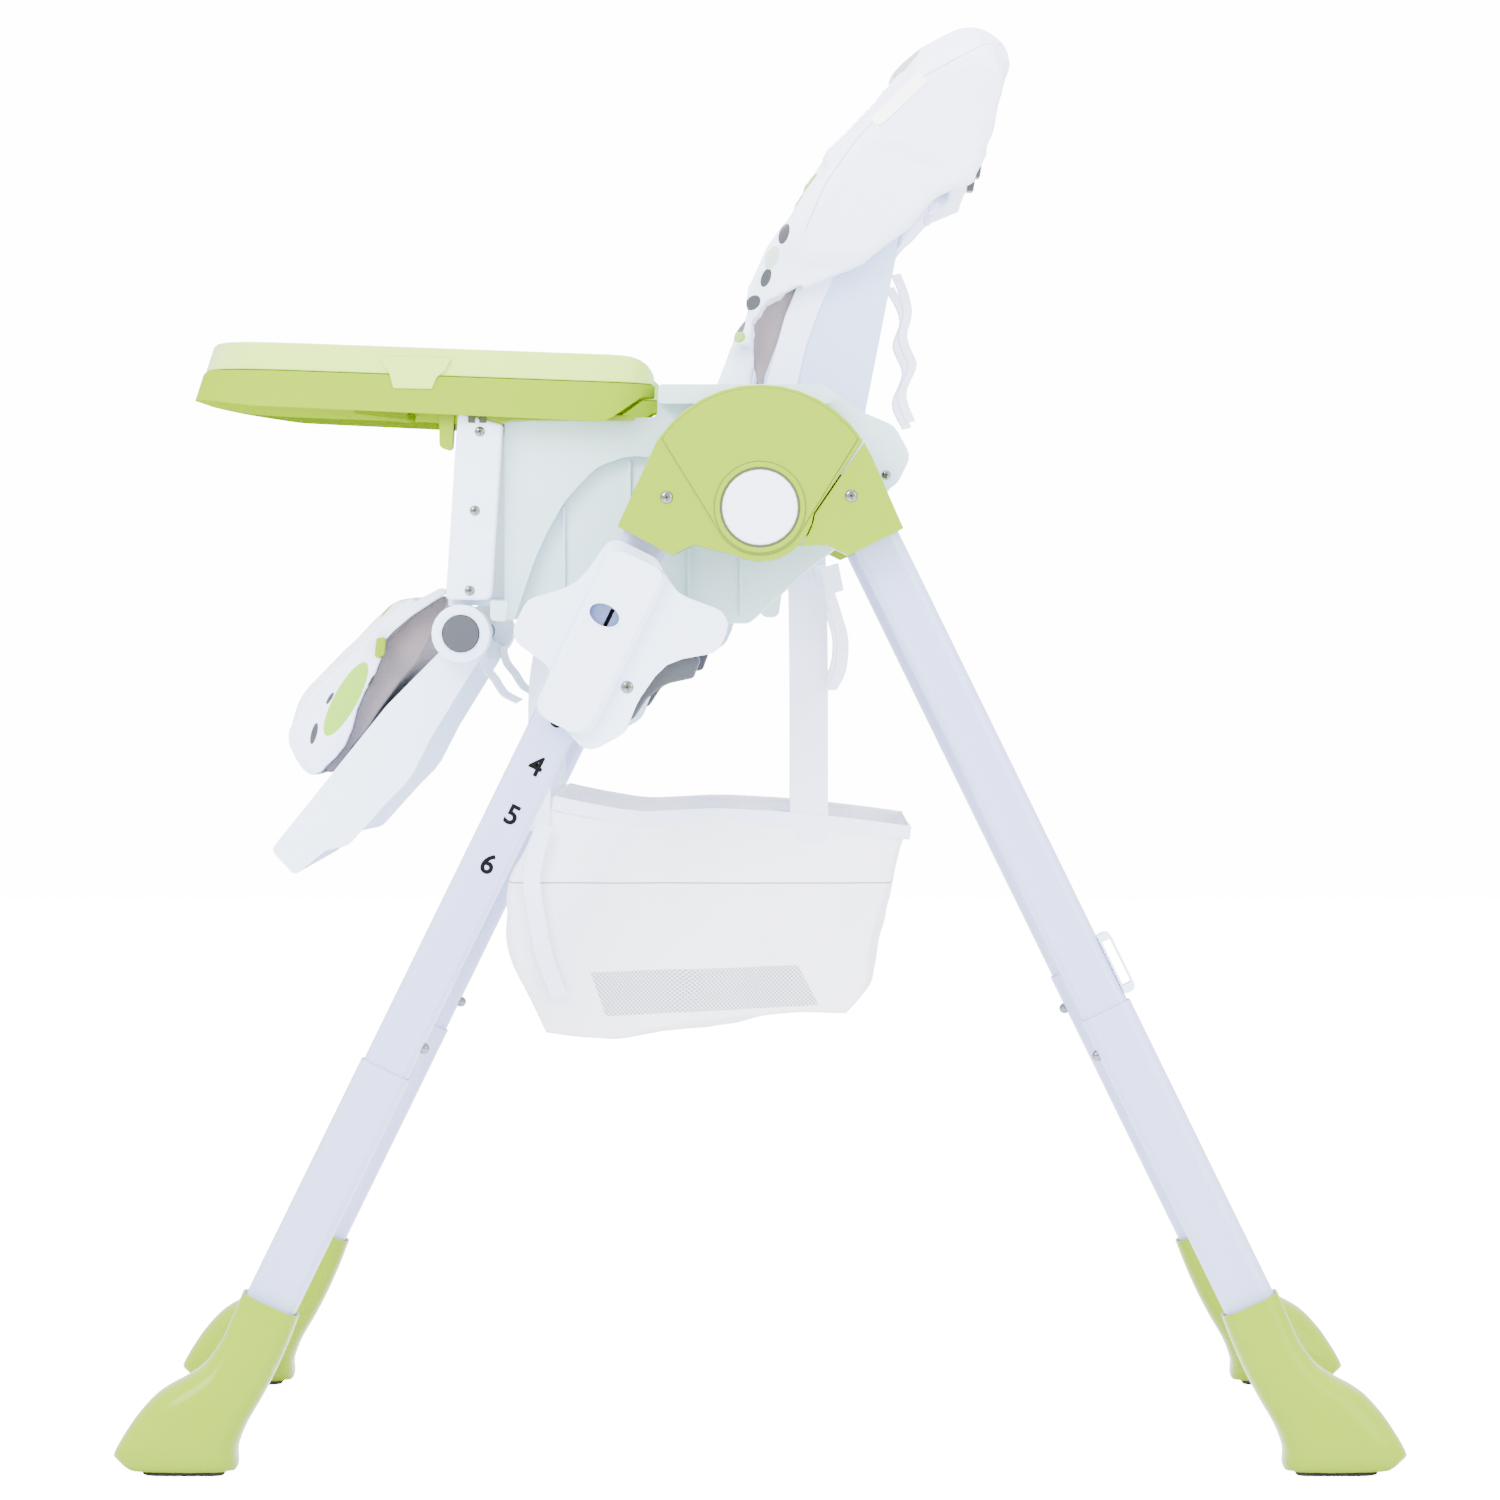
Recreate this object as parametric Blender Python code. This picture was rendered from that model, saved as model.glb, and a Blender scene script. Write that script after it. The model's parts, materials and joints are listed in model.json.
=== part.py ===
"""Folding baby high chair on an A-shaped tube frame.

Axes: +X towards the back of the chair, -X towards the tray, +Y the sitter's right,
+Z up.  The floor is Z = 0 and the fold axis of the legs is above the origin.
Left is -Y and right is +Y.  All lengths are in metres.
"""
import math

import bmesh
import bpy
from mathutils import Matrix, Vector

# Driving dimensions
LEG_ANGLE = math.radians(26.1)      # lean of each leg from the vertical
LEG_OFFSET = 0.0588                 # leg centreline to fold axis
LEG_PLANE = 0.250                   # leg mid plane to the chair's mid plane
FOLD_AXIS = (0.0, 0.0, 0.682)
TUBE_WIDTH = 0.034                  # upper leg tube, in the plane of the A
TUBE_DEPTH = 0.022                  # upper leg tube, across the chair
SLEEVE_WIDTH = 0.0374               # lower leg tube, which slips over the upper one
SLEEVE_DEPTH = 0.0256
TUBE_WALL = 0.0011
TUBE_ACROSS = 0.0046                # middle of the tubes, out from the leg line
TUBE_TOP = 0.004                    # distances along a leg from the fold axis
FRONT_SEAM = 0.473
REAR_SEAM = 0.4263
TUBE_OVERLAP = 0.060
SLEEVE_END = 0.726
FIT = 0.0004                        # gap between pieces that touch
HUB_OUTER = 0.2900                  # distances from the mid plane
HUB_INNER = 0.2275
HUB_SPLIT = 0.2625
HUB_RADIUS = 0.0862
BOSS_RADIUS = 0.0380
BUTTON_RADIUS = 0.0266
SLIDER_OUTER = 0.2745
SLIDER_INNER = 0.2285
RIDGE_OUTER = 0.2850
SHELL_HALF = 0.1897                 # half width of the seat shell
SHELL_WALL = 0.004
BACK_HALF = 0.160                   # half width of the backrest shell
HOOD_HALF = 0.178                   # half width of the backrest cover
PANEL_INNER = 0.1901
PANEL_OUTER = 0.2000
ARM_OUTER = 0.2225
RECLINE_AXIS = (0.050, 0.0, 0.690)
FOOTREST_AXIS = (-0.214, 0.0, 0.593)
BASKET_HALF = 0.155
TRAY_TILT = math.radians(2.1)
TRAY_ORIGIN = (-0.250, 0.0, 0.750)
TRAY_HALF = 0.225
TRAY_FRONT = -0.4150
TRIGGER_ALONG = 0.170
TRIGGER_ACROSS = -0.0400
SIDES = (("left", -1), ("right", 1))

DOWN_LEG = Vector((-math.sin(LEG_ANGLE), -math.cos(LEG_ANGLE)))
OUT_OF_LEG = Vector((-math.cos(LEG_ANGLE), math.sin(LEG_ANGLE)))
LEG_START = Vector((FOLD_AXIS[0], FOLD_AXIS[2])) + OUT_OF_LEG * LEG_OFFSET


def leg_point(along, across, rear=False):
    """X and Z of a point down a leg from its start and out from its centreline."""
    point = LEG_START + DOWN_LEG * along + OUT_OF_LEG * across
    return (-point.x if rear else point.x, point.y)


def trigger_pivot():
    """X and Z of the height trigger's hinge."""
    return leg_point(TRIGGER_ALONG, TRIGGER_ACROSS)


# Joint axes: each body hangs from an empty that stands on its axis
BODY_AXES = {
    "front_frame": (0.0, 0.0, 0.0),
    "rear_frame": FOLD_AXIS,
    "hub_button_left": (0.0, -HUB_OUTER, FOLD_AXIS[2]),
    "hub_button_right": (0.0, HUB_OUTER, FOLD_AXIS[2]),
    "seat": (-0.100, 0.0, 0.600),
    "slider_trigger_left": (trigger_pivot()[0], -LEG_PLANE, trigger_pivot()[1]),
    "slider_trigger_right": (trigger_pivot()[0], LEG_PLANE, trigger_pivot()[1]),
    "backrest": RECLINE_AXIS,
    "recline_lever": (0.0815, 0.0, 0.827),
    "footrest": FOOTREST_AXIS,
    "footrest_button_left": (FOOTREST_AXIS[0], -0.214, FOOTREST_AXIS[2]),
    "footrest_button_right": (FOOTREST_AXIS[0], 0.214, FOOTREST_AXIS[2]),
    "tray": TRAY_ORIGIN,
    "tray_insert": TRAY_ORIGIN,
    "tray_latch_left": (-0.2240, -0.2020, 0.7480),
    "tray_latch_right": (-0.2240, 0.2020, 0.7480),
}


# ---------------------------------------------------------------- scene and materials

def clear_scene():
    for item in list(bpy.data.objects):
        bpy.data.objects.remove(item, do_unlink=True)


def make_material(name, colour, roughness, metallic=0.0):
    material = bpy.data.materials.new(name)
    material.use_nodes = True
    shader = material.node_tree.nodes["Principled BSDF"]
    shader.inputs["Base Color"].default_value = (*colour, 1.0)
    shader.inputs["Roughness"].default_value = roughness
    shader.inputs["Metallic"].default_value = metallic
    return material


def make_materials():
    """One material for each finish, with its colour, roughness and metallic value."""
    finishes = {
        "lime_plastic": ((0.60, 0.82, 0.10), 0.22, 0.0),
        "pale_insert": ((0.76, 0.90, 0.52), 0.20, 0.0),
        "white_plastic": ((0.80, 0.84, 0.88), 0.32, 0.0),
        "white_tube": ((0.72, 0.74, 0.80), 0.28, 0.3),
        "grey_plastic": ((0.19, 0.22, 0.25), 0.40, 0.0),
        "steel_pin": ((0.62, 0.62, 0.64), 0.25, 1.0),
        "black_rubber": ((0.03, 0.03, 0.03), 0.85, 0.0),
        "print_fabric": ((0.82, 0.84, 0.80), 0.80, 0.0),
        "mesh_fabric": ((0.84, 0.84, 0.85), 0.90, 0.0),
    }
    return {name: make_material(name, *values) for name, values in finishes.items()}


def make_axes():
    """An empty on each body's joint axis, which the body's pieces hang from."""
    axes = {}
    for name, place in BODY_AXES.items():
        empty = bpy.data.objects.new("axis_" + name, None)
        empty.location = place
        bpy.context.collection.objects.link(empty)
        axes[name] = empty
    return axes


# ---------------------------------------------------------------- shapes

def rounded(corners, step=0.45):
    """Closed outline through corners (a, b, radius), each corner turned into an arc."""
    outline = []
    for index, (a, b, radius) in enumerate(corners):
        here = Vector((a, b))
        to_before = Vector(corners[index - 1][:2]) - here
        to_after = Vector(corners[(index + 1) % len(corners)][:2]) - here
        room = 0.49 * min(to_before.length, to_after.length)
        to_before.normalize()
        to_after.normalize()
        turn = math.pi - to_before.angle(to_after)
        if radius <= 0 or turn < 0.06:
            outline.append((a, b))
            continue
        reach = min(radius * math.tan(turn / 2), room)
        radius = reach / math.tan(turn / 2)
        centre = here + (to_before + to_after).normalized() * (radius / math.cos(turn / 2))
        start = here + to_before * reach - centre
        end = here + to_after * reach - centre
        sense = 1 if start.x * end.y - start.y * end.x > 0 else -1
        steps = max(1, math.ceil(turn / step))
        for number in range(steps + 1):
            angle = sense * turn * number / steps
            outline.append((
                centre.x + start.x * math.cos(angle) - start.y * math.sin(angle),
                centre.y + start.x * math.sin(angle) + start.y * math.cos(angle)))
    return outline


def arc(centre, radius, start, end, steps):
    """Points on an arc between two angles in degrees."""
    points = []
    for number in range(steps + 1):
        angle = math.radians(start + (end - start) * number / steps)
        points.append((centre[0] + radius * math.cos(angle),
                       centre[1] + radius * math.sin(angle)))
    return points


def finish_mesh(bm, name):
    bmesh.ops.recalc_face_normals(bm, faces=bm.faces)
    mesh = bpy.data.meshes.new(name)
    bm.to_mesh(mesh)
    bm.free()
    return mesh


def loft(rings, name="loft"):
    """Closed skin over rings of points, with a flat cap on the first and last."""
    bm = bmesh.new()
    rows = [[bm.verts.new(point) for point in ring] for ring in rings]
    count = len(rows[0])
    for low, high in zip(rows, rows[1:]):
        for number in range(count):
            after = (number + 1) % count
            bm.faces.new((low[number], low[after], high[after], high[number]))
    bm.faces.new(list(reversed(rows[0])))
    bm.faces.new(rows[-1])
    return finish_mesh(bm, name)


def prism(outline, low, high):
    """Outline in X and Z, drawn out along Y from low to high."""
    rings = [[(x, y, z) for x, z in outline] for y in (low, high)]
    return loft(rings, "prism")


def slab(outline, low, high):
    """Outline in X and Y, drawn out along Z from low to high."""
    rings = [[(x, y, z) for x, y in outline] for z in (low, high)]
    return loft(rings, "slab")


def box(low, high):
    corners = [(low[0], low[2]), (high[0], low[2]), (high[0], high[2]), (low[0], high[2])]
    return prism(corners, low[1], high[1])


def rod(centre, radius, low, high, sides=20):
    """Round rod along Y about a point in X and Z."""
    return prism(arc(centre, radius, 0, 360 - 360 / sides, sides - 1), low, high)


def leg_outline(corners, rear=False):
    """Outline given along and across a leg, moved to X and Z."""
    return [leg_point(along, across, rear) for along, across in rounded(corners)]


def tube_ring(width, depth, radius):
    """Rounded rectangle of a leg tube: across the leg, and across the chair."""
    half, thick = width / 2, depth / 2
    return rounded([(half, thick, radius), (-half, thick, radius),
                    (-half, -thick, radius), (half, -thick, radius)], 0.55)


def hollow_tube(width, depth, radius, start, end, side, rear):
    """Open-ended leg tube between two distances along a leg."""
    bm = bmesh.new()
    rows = []
    inner = (width - 2 * TUBE_WALL, depth - 2 * TUBE_WALL, radius - TUBE_WALL)
    for size, order in (((width, depth, radius), (start, end)), (inner, (end, start))):
        for along in order:
            row = []
            for across, out in tube_ring(*size):
                x, z = leg_point(along, across + TUBE_ACROSS, rear)
                row.append(bm.verts.new((x, side * LEG_PLANE + out, z)))
            rows.append(row)
    count = len(rows[0])
    for index, low in enumerate(rows):
        high = rows[(index + 1) % len(rows)]
        for number in range(count):
            after = (number + 1) % count
            bm.faces.new((low[number], low[after], high[after], high[number]))
    return finish_mesh(bm, "tube")


def solid_tube(width, depth, radius, start, end, side, rear=False):
    """Solid of a leg tube's outside, used to cut its socket."""
    rings = []
    for along in (start, end):
        ring = []
        for across, out in tube_ring(width, depth, radius):
            x, z = leg_point(along, across + TUBE_ACROSS, rear)
            ring.append((x, side * LEG_PLANE + out, z))
        rings.append(ring)
    return loft(rings, "socket")


class Builder:
    """Places named pieces under their body's axis and keeps their cutters hidden."""

    def __init__(self):
        self.materials = make_materials()
        self.axes = make_axes()

    def piece(self, name, mesh, body, material):
        piece = bpy.data.objects.new(name, mesh)
        mesh.name = name
        mesh.transform(Matrix.Translation(-Vector(BODY_AXES[body])))
        mesh.materials.append(self.materials[material])
        mesh.shade_smooth()
        mesh.set_sharp_from_angle(angle=math.radians(30))
        piece.parent = self.axes[body]
        bpy.context.collection.objects.link(piece)
        return piece

    def shape(self, piece, mesh, operation):
        """Cuts a hidden solid from a piece, or joins it on."""
        tool = bpy.data.objects.new(piece.name + "_tool", mesh)
        tool.hide_render = True
        tool.display_type = "WIRE"
        bpy.context.collection.objects.link(tool)
        modifier = piece.modifiers.new(operation.lower(), "BOOLEAN")
        modifier.operation = operation
        modifier.object = tool

    def cut(self, piece, mesh):
        self.shape(piece, mesh, "DIFFERENCE")

    def join(self, piece, mesh):
        self.shape(piece, mesh, "UNION")


# ---------------------------------------------------------------- legs and feet

def make_legs(build, side_name, side):
    """Upper and lower tube of the front and the rear leg on one side."""
    for rear in (False, True):
        end = "rear" if rear else "front"
        body = end + "_frame"
        seam = REAR_SEAM if rear else FRONT_SEAM
        upper = hollow_tube(TUBE_WIDTH, TUBE_DEPTH, 0.008, TUBE_TOP, seam + TUBE_OVERLAP,
                            side, rear)
        build.piece(f"{end}_upper_leg_{side_name}", upper, body, "white_tube")
        lower = hollow_tube(SLEEVE_WIDTH, SLEEVE_DEPTH, 0.0095, seam, SLEEVE_END, side, rear)
        build.piece(f"{end}_lower_leg_{side_name}", lower, body, "white_tube")


# Each foot station: the top edge (x, z), the heel or sole edge (x, z), half width
FOOT_STATIONS = (
    ((-0.3656, 0.1286), (-0.3265, 0.1105), 0.0210),
    ((-0.3735, 0.1098), (-0.3345, 0.0900), 0.0230),
    ((-0.3808, 0.0940), (-0.3435, 0.0700), 0.0255),
    ((-0.3924, 0.0780), (-0.3535, 0.0510), 0.0285),
    ((-0.4039, 0.0693), (-0.3634, 0.0340), 0.0310),
    ((-0.4241, 0.0578), (-0.3695, 0.0180), 0.0335),
    ((-0.4386, 0.0433), (-0.3728, 0.0000), 0.0345),
    ((-0.4487, 0.0289), (-0.4068, -0.0020), 0.0330),
    ((-0.4545, 0.0190), (-0.4386, 0.0010), 0.0270),
    ((-0.4566, 0.0144), (-0.4500, 0.0080), 0.0190),
)
FOOT_SIDES = 20
SOLE = 0.0034
PAD_HEIGHT = 0.0030


def foot_mesh(side, flip):
    """Shoe-shaped foot: a skin over boxy oval sections from its mouth to its toe."""
    rings = []
    for (top_x, top_z), (heel_x, heel_z), half_width in FOOT_STATIONS:
        ring = []
        for number in range(FOOT_SIDES):
            angle = 2 * math.pi * (number + 0.5) / FOOT_SIDES
            u = math.copysign(abs(math.cos(angle)) ** 0.6, math.cos(angle))
            v = math.copysign(abs(math.sin(angle)) ** 0.6, math.sin(angle))
            x = (top_x + heel_x) / 2 + u * (top_x - heel_x) / 2
            z = (top_z + heel_z) / 2 + u * (top_z - heel_z) / 2
            ring.append((flip * x, side * LEG_PLANE + v * half_width, max(z, SOLE)))
        rings.append(ring)
    return loft(rings, "foot")


CROSSBAR_X = 0.3925
CROSSBAR_Z = 0.0265
CROSSBAR_RADIUS = 0.0130
CROSSBAR_HALF = 0.262
PAD_NEAR = 0.378
PAD_FAR = 0.436
PAD_HALF = 0.024


def make_feet(build, side_name, side):
    """Front and rear foot on one side, each with its rubber pad."""
    for end, flip in (("front", 1), ("rear", -1)):
        body = end + "_frame"
        foot = build.piece(f"{end}_foot_{side_name}", foot_mesh(side, flip), body,
                           "lime_plastic")
        build.cut(foot, solid_tube(SLEEVE_WIDTH + 2 * FIT, SLEEVE_DEPTH + 2 * FIT, 0.0098,
                                   0.60, SLEEVE_END + FIT, side, flip < 0))
        hole = rod((-flip * CROSSBAR_X, CROSSBAR_Z), CROSSBAR_RADIUS + FIT,
                   side * 0.20, side * (CROSSBAR_HALF + FIT))
        build.cut(foot, hole)
        near, far = -flip * PAD_NEAR, -flip * PAD_FAR
        low, high = side * LEG_PLANE - PAD_HALF, side * LEG_PLANE + PAD_HALF
        pad = slab(rounded([(near, low, 0.008), (far, low, 0.014), (far, high, 0.014),
                            (near, high, 0.008)]), 0.0, PAD_HEIGHT)
        build.piece(f"{end}_foot_pad_{side_name}", pad, body, "black_rubber")


def make_crossbars(build):
    """Round bars that hold the feet apart at the floor."""
    for end, flip in (("front", 1), ("rear", -1)):
        bar = rod((-flip * CROSSBAR_X, CROSSBAR_Z), CROSSBAR_RADIUS,
                  -CROSSBAR_HALF, CROSSBAR_HALF)
        crossbar = build.piece(f"{end}_crossbar", bar, end + "_frame", "white_tube")
        build.cut(crossbar, rod((-flip * CROSSBAR_X, CROSSBAR_Z), CROSSBAR_RADIUS - TUBE_WALL,
                                -CROSSBAR_HALF - 0.01, CROSSBAR_HALF + 0.01, 16))


def make_tray_hooks(build, side_name, side):
    """Loop on the back of a rear leg that the tray hangs from when it is off."""
    outer = leg_outline([(0.376, 0.0219, 0.001), (0.376, 0.0310, 0.007),
                         (0.422, 0.0310, 0.007), (0.422, 0.0219, 0.001)], rear=True)
    inner = leg_outline([(0.382, 0.0232, 0.001), (0.382, 0.0294, 0.001),
                         (0.416, 0.0294, 0.001), (0.416, 0.0232, 0.001)], rear=True)
    low, high = sorted((side * 0.2420, side * 0.2580))
    hook = build.piece(f"tray_hook_{side_name}", prism(outer, low, high), "rear_frame",
                       "white_plastic")
    build.cut(hook, prism(inner, low - 0.01, high + 0.01))


# ---------------------------------------------------------------- fold hub

def hub_outline(inset=0.0):
    """Front part of the hub: arch, round boss and the socket of the front leg."""
    centre = (FOLD_AXIS[0], FOLD_AXIS[2])
    arch = arc(centre, HUB_RADIUS - inset, 33, 147, 12)
    socket = [leg_point(0.0560 - inset, 0.0252 - inset), leg_point(0.0575 - inset, -0.0180),
              leg_point(0.0440 - inset, -0.0285)]
    boss = arc(centre, BOSS_RADIUS - inset, -118, -6, 9)
    return arch + socket + boss


def rear_socket_outline():
    """Rear part of the hub, which turns about the boss with the rear leg."""
    centre = (FOLD_AXIS[0], FOLD_AXIS[2])
    around_boss = arc(centre, BOSS_RADIUS + 0.0008, -7, -44, 5)
    mouth = [leg_point(0.0440, -0.0285, True), leg_point(0.0575, -0.0180, True),
             leg_point(0.0575, 0.0252, True)]
    corner = arc(centre, HUB_RADIUS, 25, 32, 1)
    return around_boss + mouth + corner


HUB_WALL = 0.0035
EYE_RADIUS = 0.034
AXLE_RADIUS = 0.0080
EYE_LOW = 0.2398
EYE_HIGH = 0.2604


def across(side, low, high):
    """Y range on one side of the chair, lowest first."""
    return sorted((side * low, side * high))


def make_hub(build, side_name, side):
    """Cover, backplate, axle and fold button of one hub, and the rear leg's socket."""
    centre = (FOLD_AXIS[0], FOLD_AXIS[2])
    cover = build.piece(f"hub_cover_{side_name}",
                        prism(hub_outline(), *across(side, HUB_SPLIT + FIT, HUB_OUTER)),
                        "front_frame", "lime_plastic")
    build.cut(cover, prism(hub_outline(HUB_WALL),
                           *across(side, HUB_SPLIT - 0.01, HUB_OUTER - HUB_WALL)))
    build.cut(cover, rod(centre, BUTTON_RADIUS + FIT, *across(side, 0.28, 0.30), 28))

    plate = build.piece(f"hub_backplate_{side_name}",
                        prism(hub_outline(), *across(side, HUB_INNER, HUB_SPLIT)),
                        "front_frame", "lime_plastic")
    room = arc(centre, HUB_RADIUS - HUB_WALL, 60, 140, 8)
    room += [leg_point(0.0300, 0.0220), leg_point(0.0900, 0.0220), (-0.02, 0.58),
             (0.12, 0.58), (0.12, 0.682), (0.075, 0.716)]
    build.cut(plate, prism(room, *across(side, 0.2385, HUB_SPLIT + 0.01)))
    build.cut(plate, rod(centre, AXLE_RADIUS + FIT, *across(side, 0.22, 0.27)))

    socket = build.piece(f"rear_socket_{side_name}",
                         prism(rear_socket_outline(), *across(side, HUB_INNER, 0.2885)),
                         "rear_frame", "lime_plastic")
    build.join(socket, rod(centre, EYE_RADIUS, *across(side, EYE_LOW, EYE_HIGH), 28))
    bridge = [(0.010, 0.700), (0.010, 0.662), (0.050, 0.662), (0.050, 0.700)]
    build.join(socket, prism(bridge, *across(side, EYE_LOW + 0.0004, EYE_HIGH - 0.0004)))
    build.cut(socket, solid_tube(TUBE_WIDTH + 2 * FIT, TUBE_DEPTH + 2 * FIT, 0.0083,
                                 TUBE_TOP - FIT, 0.12, side, True))
    build.cut(socket, rod(centre, AXLE_RADIUS + FIT, *across(side, 0.22, 0.27)))

    axle = build.piece(f"hub_axle_{side_name}",
                       rod(centre, AXLE_RADIUS, *across(side, 0.2262, 0.2616)),
                       "front_frame", "steel_pin")
    build.join(axle, rod(centre, 0.0125, *across(side, 0.2245, 0.2271)))

    button = build.piece(f"hub_button_{side_name}",
                         rod(centre, BUTTON_RADIUS, *across(side, 0.2862, 0.2930), 28),
                         f"hub_button_{side_name}", "white_plastic")
    build.join(button, rod(centre, 0.0120, *across(side, 0.2690, 0.2870)))


# ---------------------------------------------------------------- height slider

SLIDER_CORNERS = (
    (0.0640, 0.0265, 0.010), (0.0640, -0.0090, 0.012), (0.0800, -0.0330, 0.020),
    (0.0760, -0.0760, 0.016), (0.1050, -0.0765, 0.011), (0.1270, -0.0465, 0.030),
    (0.1600, -0.0415, 0.030), (0.1850, -0.0430, 0.012), (0.2090, -0.0260, 0.012),
    (0.1960, 0.0080, 0.014), (0.1660, 0.0235, 0.016), (0.1600, 0.0600, 0.013),
    (0.1300, 0.0600, 0.012), (0.1050, 0.0325, 0.035),
)
TRIGGER_CORNERS = (
    (0.1760, -0.0360, 0.003), (0.1400, -0.0370, 0.020), (0.1240, -0.0460, 0.020),
    (0.1145, -0.0600, 0.003), (0.1140, -0.0680, 0.003), (0.1285, -0.0695, 0.003),
    (0.1413, -0.0535, 0.015), (0.1561, -0.0462, 0.010), (0.1740, -0.0440, 0.004),
)


def make_slider(build, side_name, side):
    """Four-lobed housing that runs on the front leg, and its height trigger."""
    body = leg_outline(SLIDER_CORNERS)
    slider = build.piece(f"slider_housing_{side_name}",
                         prism(body, *across(side, SLIDER_INNER, SLIDER_OUTER)),
                         "seat", "white_plastic")
    ridge = [leg_outline([(0.070, 0.0225 - cut, 0.006), (0.070, -0.0225 + cut, 0.006),
                          (0.200, -0.0225 + cut, 0.012), (0.200, 0.0225 - cut, 0.012)])
             for cut in (0.0, 0.004)]
    rings = [[(x, side * y, z) for x, z in outline]
             for outline, y in ((ridge[0], SLIDER_OUTER - 0.004), (ridge[0], 0.2800),
                                (ridge[1], RIDGE_OUTER))]
    build.join(slider, loft(rings, "ridge"))
    bracket = rounded([(-0.118, 0.632, 0.004), (-0.128, 0.612, 0.004),
                       (-0.072, 0.606, 0.004), (-0.072, 0.640, 0.004)])
    build.join(slider, prism(bracket, *across(side, SHELL_HALF + FIT, SLIDER_INNER + 0.004)))
    build.cut(slider, solid_tube(TUBE_WIDTH + 0.0012, TUBE_DEPTH + 0.0012, 0.0086,
                                 0.04, 0.24, side))
    trigger_room = leg_outline([(0.182, -0.030, 0.002), (0.120, -0.030, 0.002),
                                (0.096, -0.060, 0.002), (0.096, -0.100, 0.002),
                                (0.182, -0.100, 0.002)])
    build.cut(slider, prism(trigger_room, *across(side, 0.2385, 0.2695)))
    trigger = leg_outline(TRIGGER_CORNERS)
    build.piece(f"slider_trigger_{side_name}", prism(trigger, *across(side, 0.2400, 0.2680)),
                f"slider_trigger_{side_name}", "grey_plastic")


# ---------------------------------------------------------------- seat

SEAT_PROFILE = (
    (-0.1836, 0.742, 0.004), (-0.1836, 0.603, 0.006), (-0.100, 0.601, 0.02),
    (-0.030, 0.600, 0.004), (-0.008, 0.600, 0.008), (0.034, 0.638, 0.02),
    (0.072, 0.668, 0.02), (0.092, 0.700, 0.02), (0.092, 0.742, 0.004),
)
SEAT_HOLLOW = (
    (-0.1796, 0.800, 0.0), (-0.1796, 0.607, 0.004), (-0.100, 0.605, 0.02),
    (-0.030, 0.604, 0.004), (-0.0095, 0.604, 0.008), (0.032, 0.642, 0.02),
    (0.069, 0.671, 0.02), (0.088, 0.702, 0.02), (0.088, 0.800, 0.0),
)


def make_seat_shell(build):
    """Moulded bucket: open above, in front for the legs and behind for the backrest."""
    shell = build.piece("seat_shell", prism(rounded(SEAT_PROFILE), -SHELL_HALF, SHELL_HALF),
                        "seat", "white_plastic")
    inner = SHELL_HALF - SHELL_WALL
    build.cut(shell, prism(rounded(SEAT_HOLLOW), -inner, inner))
    build.cut(shell, box((-0.20, -0.166, 0.634), (-0.15, 0.166, 0.80)))
    build.cut(shell, box((0.060, -0.176, 0.664), (0.12, 0.176, 0.80)))


def panel_outline():
    """Side panel: front strip, band under the armrest and rounded rear end."""
    return rounded([
        (-0.1832, 0.7445, 0.002), (-0.1832, 0.6035, 0.003), (-0.1765, 0.6020, 0.003),
        (-0.1625, 0.6435, 0.03), (-0.1531, 0.6650, 0.03), (-0.1400, 0.6880, 0.03),
        (-0.1173, 0.7127, 0.03), (-0.0934, 0.7205, 0.02), (0.0000, 0.7120, 0.02), (0.0600, 0.6950, 0.02),
        (0.0960, 0.6960, 0.014), (0.1080, 0.7200, 0.012), (0.0960, 0.7420, 0.014),
        (0.0700, 0.7530, 0.020), (0.0450, 0.7710, 0.016), (-0.0735, 0.7710, 0.006),
        (-0.0740, 0.7480, 0.004),
    ])


def make_side(build, side_name, side):
    """Side panel with its armrest, front post and tray rail on one side of the seat."""
    panel = build.piece(f"side_panel_{side_name}",
                        prism(panel_outline(), *across(side, PANEL_INNER, PANEL_OUTER)),
                        "seat", "white_plastic")
    arm = rounded([(-0.0725, 0.7708, 0.003), (-0.0725, 0.7570, 0.003),
                   (0.0550, 0.7570, 0.003), (0.0440, 0.7708, 0.003)])
    build.join(panel, prism(arm, *across(side, PANEL_OUTER - 0.003, ARM_OUTER)))
    post = rounded([(-0.2160, 0.7516, 0.003), (-0.1838, 0.7423, 0.003),
                    (-0.1917, 0.6168, 0.006), (-0.2247, 0.6172, 0.003)])
    build.piece(f"front_post_{side_name}", prism(post, *across(side, 0.1920, 0.2150)),
                "seat", "white_plastic")
    rail = rounded([(-0.2130, 0.7530, 0.001), (-0.0900, 0.7485, 0.001),
                    (-0.0900, 0.7450, 0.001), (-0.1780, 0.7450, 0.001),
                    (-0.1838, 0.7427, 0.0), (-0.2130, 0.7511, 0.001)])
    build.piece(f"tray_rail_{side_name}", prism(rail, *across(side, 0.2003, 0.2150)),
                "seat", "lime_plastic")


def make_seat_axles(build):
    """Steel rods that the footrest and the backrest turn on."""
    build.piece("footrest_axle", rod((FOOTREST_AXIS[0], FOOTREST_AXIS[2]), 0.006,
                                     -0.1995, 0.1995), "seat", "steel_pin")
    build.piece("recline_axle", rod((RECLINE_AXIS[0], RECLINE_AXIS[2]), 0.006,
                                    -0.1850, 0.1850), "seat", "steel_pin")


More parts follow.
